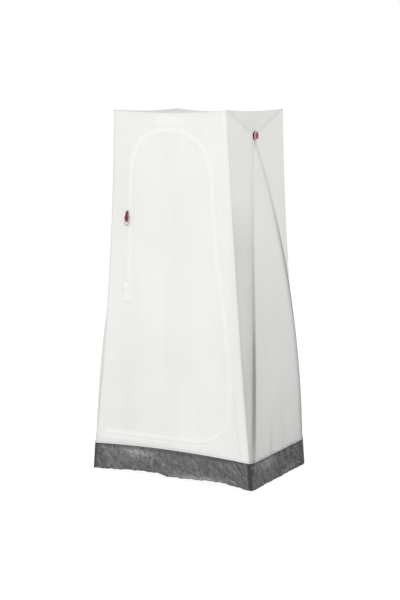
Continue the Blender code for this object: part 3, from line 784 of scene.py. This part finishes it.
def side_columns(z):
    """Y of each column at a height, closer together at the leg's ridge."""
    edge = float(edge_y(z))
    ridge = min(float(leg_y(z)), edge - 0.012)
    near = np.linspace(0, ridge - min(0.012, ridge * 0.4), 9)
    peak = np.linspace(near[-1], ridge + min(0.012, (edge - ridge) * 0.4), 7)[1:]
    far = np.linspace(peak[-1], edge, 13)[1:]
    half = np.concatenate([near, peak, far])
    return np.concatenate([-half[:0:-1], half])


def side_points():
    """Rows of the right side's sheet: at set heights up past the hub, then fanned out to the top edge."""
    rows = []
    for z in side_heights():
        y = side_columns(z)
        rows.append(joined(side_out(y, z), y, z))
    start = rows[-1]
    share = start[:, 1] / start[-1, 1]
    steps = 16
    for i in range(1, steps + 1):
        z = start[:, 2] + (top_z_side(share) - start[:, 2]) * (i / steps)
        y = share * edge_y(z)
        x = side_out(y, z)
        if i == steps:
            x = TOP_X - PLAN_BOW * (1 - share**2)
            y = share * HALF_DEPTH
        rows.append(joined(x, y, z))
    return np.concatenate(rows), len(rows)


def leg_tone(y, z):
    """The shade of the two legs: soft by the hub and sharper lower down, with a tail to the front."""
    heights, front_line, rear_line = zip(*ROD_SHADOW)
    soft = np.interp(z, (0.15, 0.30, 0.6, 1.2), (1.7, 1.1, 1.0, 1.5))
    tone = np.zeros_like(y)
    for end, strength in ((-1, front_line), (1, rear_line)):
        past = y - end * leg_y(z) + 0.003
        core = hump(past, soft * np.where(past > 0, 0.0055, 0.0090))
        tail = 0.24 * hump(past, 0.030) * (past < 0)
        tone += np.interp(z, heights, strength) * np.maximum(core, tail)
    return tone * unit((LEG_TOP_Z - 0.004 - z) / 0.02)


def arm_tone(away, z):
    """The painted shade of the arms, and a slighter painted shade over the cloth above them."""
    arm_z = HUB_Z + away * ARM_SLOPE
    reach = unit((away - 0.015) / 0.03) * unit((0.250 - away) / 0.01)
    above = soft_box(z, HUB_Z, HEIGHT, 0.02) * soft_box(z - arm_z, 0.0, 0.2, 0.01)
    return 0.13 * hump(z - arm_z, 0.0075) * reach + 0.05 * above


def side_shade(points):
    """Rods showing through, the knob's shadow, edges, the panel ahead of the front leg, low troughs."""
    y, z = points[:, 1], points[:, 2]
    away = np.abs(y)
    edge = edge_y(z) - away
    shade = leg_tone(y, z) + arm_tone(away, z) + low_troughs(y, z)
    shade += 0.32 * hump(HUB_Z - 0.032 - z, 0.013) * hump(y, 0.013)
    shade += np.interp(z, (0.2, 1.2), (0.10, 0.05)) * hump(edge, 0.006)
    shade += 0.045 * np.exp(-unit(edge) / 0.05) * (y < 0)
    ahead = soft_box(-y - leg_y(z), 0.0, 1.0, 0.02)
    shade += ahead * np.interp(z, (0.12, 0.40, 0.95, 1.15), (0.0, 0.15, 0.17, 0.0))
    shade += np.interp(z, (0.1, 0.35, 0.6, 1.2), (0.24, 0.16, 0.085, -0.01))
    return np.clip(shade, 0, 0.88)


def low_troughs(y, z):
    """Painted shade in soft troughs between the folds that rise from the seam."""
    tone = np.zeros_like(y)
    for place, lean, width, top, depth in TROUGHS:
        rise = unit((top - z) / (top - SEAM_Z)) ** 0.8
        tone += depth * rise * hump(y - place - lean * (z - SEAM_Z), width)
    return tone


def side_glow(points):
    """Brighter over the corner pockets."""
    away, z = np.abs(points[:, 1]), points[:, 2]
    pocket = soft_box(away, HALF_DEPTH - 0.020, HALF_DEPTH - 0.001, 0.0025)
    return 0.7 * pocket * soft_box(z, *POCKET_Z, 0.004)


def side_cloth(side, sign, cloth):
    """A side wall; the left one is the right one turned half round."""
    points, rows = side_points()
    turn = (sign, sign, 1)
    wall = sheet(f"{side}_side_cloth", points * turn, rows, cloth, CLOTH)
    at = points_of(wall) * turn
    set_look(wall, side_shade(at), side_glow(at))
    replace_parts(move_with(wall, "frame_centre"), f"{side}_wall")


# ---- skirt ----


def crinkle(a, b, seed):
    """Sharp-edged creasing of stiff sheet, from cell borders at three sizes."""
    total = np.zeros(len(a))
    for size, height in ((0.055, 0.0030), (0.024, 0.0022), (0.011, 0.0013)):
        for i, (p, q) in enumerate(zip(a, b)):
            near = noise.voronoi(Vector((p / size, q / size * 0.8, seed)))[0]
            total[i] += height * (near[1] - near[0])
    return total


def skirt_lift(u):
    """How far the front skirt's bottom edge stands off the ground, u from -1 to 1 across."""
    places, heights = zip(*LIFTS)
    near = [np.interp(u + shift, places, heights) for shift in (-0.04, -0.02, 0.0, 0.02, 0.04)]
    ripple = 0.0012 * np.sin(31 * u) + 0.0008 * np.sin(73 * u + 1)
    return np.clip(np.mean(near, axis=0) + ripple * unit((1 - np.abs(u)) * 8), 0, None)


def side_lift(u):
    return SIDE_LIFT * skirt_lift(-u)


def back_lift(u):
    return BACK_LIFT * skirt_lift(-u)


def corner_fan(u, z, half):
    """Creases that spread up from the two lowest corners, weaker at the left of the front and back."""
    swell = np.zeros_like(u)
    for side in (-1, 1):
        along = (1 - side * u) * half
        strength = 0.0015 if half < BASE_X or side > 0 else 0.0008
        angle = np.arctan2(z + 0.004, along + 1e-4)
        near = hump(np.hypot(along, z), 0.13)
        for turn in (0.30, 0.52, 0.72, 0.92, 1.12, 1.32):
            swell += strength * hump(angle - turn, 0.045) * near
    return swell


def flat_skirt(sign):
    """Outer face and outward direction of the front (-1) or back (1) skirt."""

    def place(u, z):
        x = u * half_width(z)
        y = sign * (HALF_DEPTH - 0.004 * np.sin(math.pi * unit(1 - z / SEAM_Z)) * (1 - u**2))
        return joined(x * -sign, y, z), np.array((0.0, sign, 0.0))

    return place


def side_skirt(sign):
    """Outer face and outward direction of the right (1) or left (-1) skirt."""

    def place(u, z):
        y = u * HALF_DEPTH
        x = side_out(y, SEAM_Z) + TILT * (SEAM_Z - z)
        return joined(x * sign, y * sign, z), np.array((sign, 0.0, 0.0))

    return place


def skirt(side, place, half, arch, lift, seed, body, ground):
    """A crinkled strip under the seam; u runs from -1 to 1 along it."""
    rows, columns = 31, int(2 * half / SHEET_CELL)
    u, share = np.meshgrid(np.linspace(-1, 1, columns), np.linspace(0, 1, rows))
    low = 0.0003 + lift(u)
    z = (low + (SEAM_Z + arch * (1 - u**2) - low) * share).ravel()
    u, down = u.ravel(), 1 - share.ravel()
    base, out = place(u, z)
    fade = unit(down / 0.15) * unit((1 - np.abs(u)) * half / 0.012)
    push = (crinkle(u * half, z, seed) - 0.0030 + corner_fan(u, z, half)) * fade
    points = base + out * push[:, None]
    made = sheet(f"{side}_skirt", points, rows, ground, SHEET)
    shade, glow = skirt_painted_light(u, z, half, push.reshape(rows, columns))
    set_look(made, shade, glow)
    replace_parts(move_with(made, body), f"skirt_{side}")


def skirt_painted_light(u, z, half, relief):
    """Painted shade at the ends, under the seam and on one flank of each crease, painted highlights on the
    other flank, and bands of bright specks painted as glints.
    """
    slope = (np.gradient(relief, axis=1) * 1.2 + np.gradient(relief, axis=0)).ravel() / SHEET_CELL
    from_end = (1 - np.abs(u)) * half
    corner = hump(from_end, 0.009)
    on_side = half <= HALF_DEPTH
    # The side skirts get painted shade that grows towards the end where u is 1; each crease's flanks get
    # painted shade and highlights.
    dim = 0.30 + 0.26 * u if on_side else 0.03
    tone = CREASE_PAINTED_LIGHT if on_side else 0.7 * CREASE_PAINTED_LIGHT
    shade = 0.9 * corner + 0.22 * hump(from_end, 0.060) + 0.25 * hump(SEAM_Z - z, 0.006)
    # Bands where the glow attribute brings out the painted glints.
    upper = hump(u + 0.42, 0.22) * hump(z - 0.090, 0.020)
    lower = hump(u - 0.36, 0.32) * hump(z - skirt_lift(u) - 0.007, 0.009)
    left = 0.12 * hump(u + 0.85, 0.12)
    glow = 0.10 + 0.9 * unit(upper + lower + left) + tone * unit(-slope) * (1 - corner)
    return np.clip(shade + dim + tone * unit(slope), 0, 0.9), unit(glow)


def skirts(ground):
    skirt("front", flat_skirt(-1), BASE_X, SEAM_ARCH, skirt_lift, 1.7, "front", ground)
    skirt("back", flat_skirt(1), BASE_X, SEAM_ARCH, back_lift, 4.2, "back", ground)
    skirt("right", side_skirt(1), HALF_DEPTH, 0.0, side_lift, 7.9, "frame_centre", ground)
    skirt("left", side_skirt(-1), HALF_DEPTH, 0.0, side_lift, 9.3, "frame_centre", ground)


# ---- the cloth's hem over the skirt ----


def front_hem_line(u, up, rise):
    z = seam_z(u) + up
    x = u * (edge_x(z) - 0.003)
    return joined(x, front_depth(x, z) - rise, z)


def side_hem_line(u, up, rise):
    z = SEAM_Z + up
    y = u * edge_y(z)
    return joined(side_out(y, z) + rise, y, z)


def seam_hem(side, sign, line, tone, stitch_shade, body, cloth):
    """A low roll along the seam that carries its wall's painted shade, with painted shade along its
    stitching, sunk near the upper edge; sign -1 turns it half round.
    """
    up = np.array([0.0, 0.16, 0.34, 0.52, 0.64, 0.74, 0.84, 1.0])
    roll = np.array([0.2, 0.8, 1.0, 0.9, 0.5, 0.05, 0.25, 0.0])
    count = 161
    along, across = np.meshgrid(np.linspace(-1, 1, count), up)
    turn = (sign, sign, 1)
    rise = np.repeat(roll, count) * HEM_RISE + 0.0004
    points = line(along.ravel(), across.ravel() * HEM_HIGH, rise) * turn
    made = sheet(f"{side}_hem", points, len(up), cloth, 0.0003)
    at = points_of(made) * turn
    # Painted shade along the sunk stitching, on top of the wall's own painted shade.
    sunk_shade = np.resize(np.repeat(stitch_shade * hump(up - 0.74, 0.11), count), len(at))
    set_look(made, np.clip(tone(at) + sunk_shade, 0, 0.9))
    move_with(made, body)


def seam_hems(cloth):
    seam_hem("front", 1, front_hem_line, front_shade, 0.42, "front", cloth)
    seam_hem("back", -1, front_hem_line, front_shade, 0.42, "back", cloth)
    seam_hem("right", 1, side_hem_line, side_shade, 0.55, "frame_centre", cloth)
    seam_hem("left", -1, side_hem_line, side_shade, 0.55, "frame_centre", cloth)


# ---- zip ----


def strip_along(name, line, near, far, profile, rise, columns, thickness, material):
    """A strip along a line on the front, between two distances from it, which may change along it."""
    t = np.linspace(0, 1, columns)
    near = np.broadcast_to(near, len(line))
    far = np.broadcast_to(far, len(line))
    points = []
    for p, s, a, b in zip(line, sideways(line), near, far):
        points.append(onto_front(p + np.outer(a + (b - a) * t, s), rise + profile(t)))
    return sheet(name, np.concatenate(points), len(line), material, thickness)


def band_reach(line):
    """Width of the band along the zip: broad along the bottom, narrower up the sides and over the top."""
    share = unit((line[:, 1] - 0.150) / 0.14)
    smooth = share * share * (3 - 2 * share)
    left_end = np.clip(np.arange(len(line)) / 4, 0.3, 1)
    return (BAND_BOTTOM + (BAND_WIDTH - BAND_BOTTOM) * smooth) * left_end


def band_profile(t):
    """Two soft rolls with a stitched valley between them, flat at both edges."""
    return BAND_RISE * np.sin(math.pi * t) ** 1.2 * (1 - 0.5 * hump(t - 0.45, 0.10))


def tape_profile(t):
    return 0.0003 * (1 - (2 * t - 1) ** 6)


def look_band(band, count):
    """Painted highlights make it brightest over the top and along the bottom, where it is doubled; painted
    shade darkens a valley low down.
    """
    z = points_of(band)[:, 2]
    valley_shade = np.tile(hump(np.linspace(0, 1, BAND_COLUMNS) - 0.42, 0.08), count)
    shade = 0.10 * soft_box(z, 0.0, 0.42, 0.30) * np.resize(valley_shade, len(z))
    set_look(band, shade, 0.20 + 0.25 * soft_box(z, 1.28, 1.5, 0.10) + 0.25 * soft_box(z, 0.0, 0.19, 0.06))


def teeth(name, line, near, far, material):
    """A row of moulded teeth: a half-round strip whose height rises and falls along the line."""
    across = np.linspace(0, 1, 6)
    round_over = np.sqrt(1 - (2 * across - 1) ** 2)
    points = []
    for i, (p, s) in enumerate(zip(line, sideways(line))):
        tooth = 0.72 + 0.28 * math.cos(2 * math.pi * i / TEETH["pitch"])
        flat = p + np.outer(near + (far - near) * across, s)
        points.append(onto_front(flat, 0.0003 + TEETH["tall"] * tooth * round_over))
    return sheet(name, np.concatenate(points), len(line), material, 0.0005, 1)


def zip_parts(tape, cloth, coil):
    """The tape on the fixed cloth, the raised band on the door, the two rows of teeth and the end tab."""
    line = resample(zip_line(), CLOTH_CELL)
    wall = strip_along("zip_tape_wall", line, -TAPE_WIDTH, -0.0006, tape_profile, 0.0001, 7, 0.0003, tape)
    set_look(wall)
    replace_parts(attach(wall, "front"), "zip_tape_outer")
    reach = band_reach(line)
    band = strip_along("zip_band", line, 0.0006, reach, band_profile, 0.0002, BAND_COLUMNS, 0.0004, cloth)
    look_band(band, len(line))
    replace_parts(bend_with_door(band), "zip_tape_door", "zip_tape_side")
    fine = resample(zip_line(), TEETH["step"])
    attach(teeth("zip_teeth_wall", fine, -TEETH["wide"], -0.00005, coil), "front")
    bend_with_door(teeth("zip_teeth_door", fine, 0.00005, TEETH["wide"], coil))
    end_tab(cloth)


def end_tab(cloth):
    """A doubled cloth tab over the zip's lower end, sewn round its edge, its lower part folded up."""
    low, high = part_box("zip_end_patch")
    rows = 61
    fold_line = 0.46
    u, v = grid(25, rows, 0)
    rim = np.minimum(np.minimum(u, 1 - u) * (high.x - low.x), np.minimum(v, 1 - v) * (high.z - low.z))
    inward = unit(rim / 0.002)
    puff = 0.0011 * hump(rim - 0.0045, 0.0022) + 0.0007 * inward
    puff += 0.0012 * soft_box(v, 0.0, fold_line, 0.05) * inward
    flat = joined(low.x + (high.x - low.x) * u, low.z + (high.z - low.z) * v)
    tab = sheet("zip_end_tab", onto_front(flat, 0.0022 + puff), rows, cloth, 0.0006)
    # Painted shade along the stitching and in a band just above the fold; the tab is brighter all over.
    above_fold = soft_box(v, fold_line, fold_line + 0.12, 0.06)
    set_look(tab, 0.10 * hump(rim - 0.0028, 0.0008) + 0.035 * above_fold, 0.32)
    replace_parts(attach(tab, "front"), "zip_end_patch")


# ---- slider, pull, ring and knob ----


def slider(paint):
    """Slider body with its shoulder, raised spine and lug."""
    low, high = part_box("zip_slider")
    middle = (low.x + high.x) / 2
    eye_z = low.z + SLIDER_BELOW
    face, plate = high.y, high.y - 0.0030
    inset = (high.x - low.x) * 0.16
    top = high.z - 0.0030
    shoulder = eye_z - 0.0005
    spine = 0.0012
    bm = bmesh.new()
    rounded_box(bm, (low.x + inset, plate, low.z), (high.x - inset, face, top), 0.0011)
    shoulder_low = (low.x, plate + 0.0004, shoulder - 0.0045)
    rounded_box(bm, shoulder_low, (high.x, face - 0.0003, shoulder + 0.0035), 0.0010)
    spine_low = (middle - spine, plate - 0.0005, low.z + 0.003)
    rounded_box(bm, spine_low, (middle + spine, plate + 0.001, top - 0.001), 0.0004)
    lug(bm, middle, plate, eye_z, low.y)
    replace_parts(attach(from_bmesh("slider_body", bm, paint), "slider"), "zip_slider")
    return middle, eye_z


def lug(bm, x, plate, z, front):
    """A bridge that stands off the slider and holds the pull's bar."""
    half, wall, steps = 0.001, 0.0011, 14
    loops = []
    for i in range(steps + 1):
        angle = math.pi * i / steps
        outer = (plate - (plate - front) * math.sin(angle), z - 0.0040 * math.cos(angle))
        inner = (plate - (plate - front - wall) * math.sin(angle), z - 0.0024 * math.cos(angle))
        loops.append([(x - half, *outer), (x + half, *outer), (x + half, *inner), (x - half, *inner)])
    loft(bm, loops)


def pull(x, eye_z, red):
    """The pull: a forked neck with its bar, widening to a thick ribbed grip with a raised rim."""
    low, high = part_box("zip_puller")
    half = (high.x - low.x) / 2
    depth = (high.y - low.y) / 2
    middle = (high.y + low.y) / 2
    fork_end = eye_z - FORK_DEEP
    bm = bmesh.new()
    for side in (-1, 1):
        a, b = sorted((x + side * 0.0016, x + side * 0.0034))
        rounded_box(bm, (a, low.y, fork_end - 0.0012), (b, high.y, high.z), 0.0008)
    bar, bar_reach = 0.0009, 0.0030
    bar_low = (x - bar_reach, middle - bar, eye_z - bar)
    rounded_box(bm, bar_low, (x + bar_reach, middle + bar, eye_z + bar), 0.0007)
    outline = [
        (0.0036, fork_end), (0.0040, fork_end - 0.0030), (0.86 * half, fork_end - 0.0075),
        (half, fork_end - 0.0125), (0.97 * half, low.z + 0.0080), (0.72 * half, low.z + 0.0045),
        (0.0034, low.z + 0.0015), (0.0026, low.z),
    ]
    ring = [(w, z) for w, z in outline] + [(-w, z) for w, z in outline[::-1]]
    loft(bm, [[(x + w, y, z) for w, z in ring] for y in (middle - 0.72 * depth, middle + 0.72 * depth)])
    for side in (-1, 1):
        rim_along(bm, x, middle, side, outline, depth)
    widths, heights = zip(*outline[::-1])
    for k in range(5):
        z = fork_end - 0.0062 - k * 0.0027
        reach = float(np.interp(z, heights, widths)) - 0.0022
        rib_low = (x - reach, low.y + 0.0001, z - 0.0006)
        rounded_box(bm, rib_low, (x + reach, low.y + 0.0011, z + 0.0006), 0.0004)
    made = from_bmesh("pull_tab", bm, red)
    at = points_of(made)
    # Painted shade over the ribs in the middle of the grip, standing for a recess.
    on_grip = (np.abs(at[:, 0] - x) < half - 0.0017) & (at[:, 2] < eye_z - 0.010)
    set_look(made, 0.85 * (on_grip & (at[:, 1] < low.y + 0.0012)))
    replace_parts(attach(made, "puller"), "zip_puller")


def rim_along(bm, x, middle, side, outline, depth):
    """A round bead along one side of the pull's outline."""
    loops = []
    for i, (w, z) in enumerate(outline):
        before, after = outline[max(i - 1, 0)], outline[min(i + 1, len(outline) - 1)]
        along = Vector((after[0] - before[0], after[1] - before[1])).normalized()
        out = Vector((-along.y * side, 0, along.x)) * 0.0009
        at = Vector((x + side * (w - 0.0007), middle, z))
        loops.append([at + out * c + Vector((0, depth * s, 0)) for c, s in circle(10)])
    loft(bm, loops)


def wire_ring(wire):
    """A round wire bent to a slightly long ring."""
    low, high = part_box("pull_ring")
    across = (high.x - low.x) / 2 - RING_WIRE * 0.9
    tall = (high.z - low.z) / 2 - RING_WIRE * 0.9
    loops = []
    for up, along in circle(64):
        at = (low + high) / 2 + Vector((across * along, 0, tall * up))
        loops.append([at + Vector((along * c, s, up * c)) * RING_WIRE for c, s in circle(12)])
    bm = bmesh.new()
    loft(bm, loops, closed=True)
    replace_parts(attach(from_bmesh("pull_wire_ring", bm, wire), "ring"), "pull_ring")


def knob(side, sign, red):
    """Spool-shaped knob: a rear flange, a neck, a dished and ribbed front disc, and the stud behind."""
    low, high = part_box(f"{side}_knob")
    out = max(abs(low.x), abs(high.x)) - HUB_X
    disc = (high.z - low.z) / 2
    stud = 0.0060
    dish = ((0.84, 0.34), (0.85, 0.56), (0.88, 0.70), (0.96, 0.77), (1.00, 0.83), (0.99, 0.91))
    back = ((0.93, 0.97), (0.80, 1.00), (0.66, 0.99), (0.57, 0.93), (0.52, 0.80))
    neck = ((0.48, 1.15), (0.43, 1.01), (0.37, 1.02), (0.32, 1.15))
    flange = ((0.29, 0.80), (0.26, 0.93), (0.20, 0.99), (0.13, 1.0), (0.06, 0.985))
    profile = [(out * 0.84, 0.0001)]
    for section, radius in ((dish, disc), (back, disc), (neck, 0.55 * disc), (flange, 0.95 * disc)):
        profile += [(out * a, radius * b) for a, b in section]
    profile += [(out * 0.05, stud), (-2 * stud, stud), (-2 * stud, 0.0001)]
    segments, ribs = 96, 24
    waves = [math.cos(2 * math.pi * ribs * k / segments) for k in range(segments)]
    loops = []
    for at_x, radius in profile:
        grip = 0.00025 if out * 0.66 <= at_x <= out * 0.92 else 0.0
        radii = [max(radius + grip * wave, 0) for wave in waves]
        x = sign * (HUB_X + at_x)
        loops.append([(x, r * c, HUB_Z + r * s) for r, (c, s) in zip(radii, circle(segments))])
    bm = bmesh.new()
    loft(bm, loops)
    made = from_bmesh(f"{side}_knob_shell", bm, red)
    at = points_of(made)
    radius = np.hypot(at[:, 1], at[:, 2] - HUB_Z)
    proud = np.abs(at[:, 0]) - HUB_X
    # Painted highlight on the front disc's rim; painted shade on the stud, flange and neck behind the disc
    # and in the middle of the dish.
    rim = soft_box(radius, disc * 0.79, disc * 1.1, 0.001) * soft_box(proud, out * 0.62, out * 1.2, 0.0008)
    hollow_shade = soft_box(radius, -0.01, disc * 0.30, 0.003) * soft_box(proud, out * 0.7, out * 1.2, 0.0005)
    set_look(made, 0.75 * soft_box(proud, -0.02, out * 0.50, 0.001) + 0.8 * hollow_shade, rim)
    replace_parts(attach(made, f"{side}_knob"), f"{side}_knob")


# ---- corners inside ----


def corner_pieces(cloth, ground):
    for end in ("front", "back"):
        for side in ("right", "left"):
            top_pocket(end, side, cloth)
            foot_patch(end, side, ground)


def top_pocket(end, side, cloth):
    """A folded cloth angle inside a top corner, its lower edge hemmed."""
    node = f"top_pocket_{end}_{side}"
    low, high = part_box(node)
    toward_x = 1 if abs(high.x) > abs(low.x) else -1
    toward_y = 1 if abs(high.y) > abs(low.y) else -1
    turn, steps, rows = 0.004, 8, 11
    corner_x = max(abs(low.x), abs(high.x)) - 0.0008
    corner_y = max(abs(low.y), abs(high.y)) - 0.0008
    run_x = corner_x - turn - min(abs(low.x), abs(high.x))
    run_y = corner_y - turn - min(abs(low.y), abs(high.y))
    path = [(corner_x - turn - run_x * (1 - i / steps), corner_y) for i in range(steps + 1)]
    for a in (0.4, 0.8, 1.2):
        path.append((corner_x - turn + turn * math.sin(a), corner_y - turn + turn * math.cos(a)))
    path += [(corner_x, corner_y - turn - run_y * i / steps) for i in range(steps + 1)]
    points = []
    for j in range(rows):
        z = low.z + (high.z - low.z) * j / (rows - 1)
        hem = 0.0004 if j < 2 else 0.0
        points += [(toward_x * (x - hem), toward_y * (y - hem), z) for x, y in path]
    made = sheet(f"corner_pocket_{end}_{side}", points, rows, cloth, 0.0008, 0)
    set_look(made)
    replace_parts(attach(made, end), node)


def foot_patch(end, side, ground):
    """A stitched patch of groundsheet with a soft raised rim."""
    node = f"foot_patch_{end}_{side}"
    low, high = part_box(node)
    inward = -1 if low.y > 0 else 1
    rows = 23
    u, v = grid(15, rows, 0)
    rim = np.minimum(np.minimum(u, 1 - u), np.minimum(v, 1 - v))
    y = (low.y + high.y) / 2 + inward * 0.0006 * hump(rim - 0.10, 0.05)
    points = joined(low.x + (high.x - low.x) * u, y, low.z + (high.z - low.z) * v)
    made = sheet(f"corner_patch_{end}_{side}", points, rows, ground, 0.0008, 0)
    set_look(made)
    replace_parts(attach(made, end), node)


def paint_frame(finishes):
    """New node materials on the CAD pieces that are shown as they are."""
    for name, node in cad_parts.items():
        finish = next((made for words, made in finishes if any(w in name for w in words)), None)
        if finish and not node.hide_render:
            node.data.materials.clear()
            node.data.materials.append(finish)


# ---- stage ----

SKY = 0.69
FLOOR_WHITE = 0.93
CAMERA_PLACE = (2.8077, -5.0699, 1.5503)
CAMERA_YAW = math.radians(28.97)
CAMERA_PITCH = math.radians(8.30)
CAMERA_LENS = 84.66


def only_to_camera(tree, seen, real, target):
    """Joins one shader that only the camera sees, and another that lights the object."""
    rays = tree.nodes.new("ShaderNodeLightPath")
    mix = tree.nodes.new("ShaderNodeMixShader")
    tree.links.new(rays.outputs["Is Camera Ray"], mix.inputs["Fac"])
    tree.links.new(real.outputs[0], mix.inputs[1])
    tree.links.new(seen.outputs[0], mix.inputs[2])
    tree.links.new(mix.outputs[0], target.inputs["Surface"])


def white_world():
    """Even white light all round; the camera itself sees pure white behind the object."""
    world = bpy.data.worlds.new("studio")
    world.use_nodes = True
    tree = world.node_tree
    seen = tree.nodes["Background"]
    seen.inputs["Strength"].default_value = 1.0
    seen.inputs["Color"].default_value = (1, 1, 1, 1)
    fill = tree.nodes.new("ShaderNodeBackground")
    fill.inputs["Color"].default_value = (0.985, 0.99, 1.0, 1)
    fill.inputs["Strength"].default_value = SKY
    only_to_camera(tree, seen, fill, tree.nodes["World Output"])
    return world


def studio_floor():
    """A matt pale floor, nearly white to the camera, so that only contact shadows tint it."""
    n = Nodes("studio_floor")
    n.feed(n.shader, {"Base Color": (0.90, 0.90, 0.90, 1), "Roughness": 0.9})
    lift = n.add("ShaderNodeEmission", {"Strength": FLOOR_WHITE})
    soft = n.add("ShaderNodeBsdfDiffuse", {"Color": (0.14, 0.14, 0.14, 1)})
    both = n.add("ShaderNodeAddShader", {0: lift.outputs[0], 1: soft.outputs[0]})
    only_to_camera(n.tree, both, n.shader, n.tree.nodes["Material Output"])
    bm = bmesh.new()
    bmesh.ops.create_grid(bm, x_segments=1, y_segments=1, size=30)
    bmesh.ops.translate(bm, vec=(0, 0, -0.0005), verts=bm.verts)
    from_bmesh("studio_floor", bm, n.material)


def add_light(name, place, aim, size, power):
    light = bpy.data.lights.new(name, "AREA")
    light.shape = "DISK"
    light.size = size
    light.energy = power
    made = bpy.data.objects.new(name, light)
    bpy.context.scene.collection.objects.link(made)
    made.location = place
    made.rotation_euler = (Vector(aim) - Vector(place)).to_track_quat("-Z", "Y").to_euler()


def stage():
    scene = bpy.context.scene
    scene.view_settings.view_transform = "Standard"
    scene.view_settings.look = "None"
    scene.world = white_world()
    studio_floor()
    add_light("key", (-0.6, -5.1, 2.2), (0, 0, 0.85), 1.8, 82)
    add_light("upper_right", (2.6, -0.3, 3.0), (0.2, 0, 1.2), 1.0, 20)
    add_light("behind", (-1.6, 4.4, 2.8), (0, 0, 1.0), 1.6, 50)
    camera = bpy.data.objects.new("camera", bpy.data.cameras.new("camera"))
    scene.collection.objects.link(camera)
    camera.location = CAMERA_PLACE
    camera.rotation_euler = (math.pi / 2 - CAMERA_PITCH, 0, CAMERA_YAW)
    camera.data.lens = CAMERA_LENS
    scene.camera = camera


# ---- build ----

COVER = cover_cloth("cover_cloth")
BAND = cover_cloth("band_cloth", (0.85, 0.845, 0.82))
TAPE = cover_cloth("zip_tape_cloth", (0.84, 0.835, 0.805))
GROUND = groundsheet()
# The red's last two colours are the painted highlight on the knobs' rims and the painted shade on the
# knobs and the pull's grip.
RED = plastic("red_moulding", (0.26, 0.012, 0.020), 0.24, 0.5, (0.74, 0.42, 0.40), (0.12, 0.006, 0.010))
DARK_RED = plastic("slider_paint", (0.105, 0.009, 0.012), 0.45, 0.1)
WIRE = plastic("ring_wire", (0.095, 0.045, 0.045), 0.35, 0.2)
GREY = plastic("grey_moulding", (0.20, 0.20, 0.21), 0.5)
FRAME_FINISHES = (
    (("hub", "foot"), GREY),
    (("ferrule", "pin", "rail"), steel()),
    (("leg_upper", "leg_lower", "arm"), fibre_rod()),
)

front_and_back(COVER)
roof_cloth(COVER)
floor_sheet(GROUND)
side_cloth("right", 1, COVER)
side_cloth("left", -1, COVER)
skirts(GROUND)
seam_hems(COVER)
zip_parts(TAPE, BAND, zip_coil())
SLIDER_X, EYE_Z = slider(DARK_RED)
pull(SLIDER_X, EYE_Z, RED)
wire_ring(WIRE)
knob("right", 1, RED)
knob("left", -1, RED)
corner_pieces(COVER, GROUND)
paint_frame(FRAME_FINISHES)
stage()
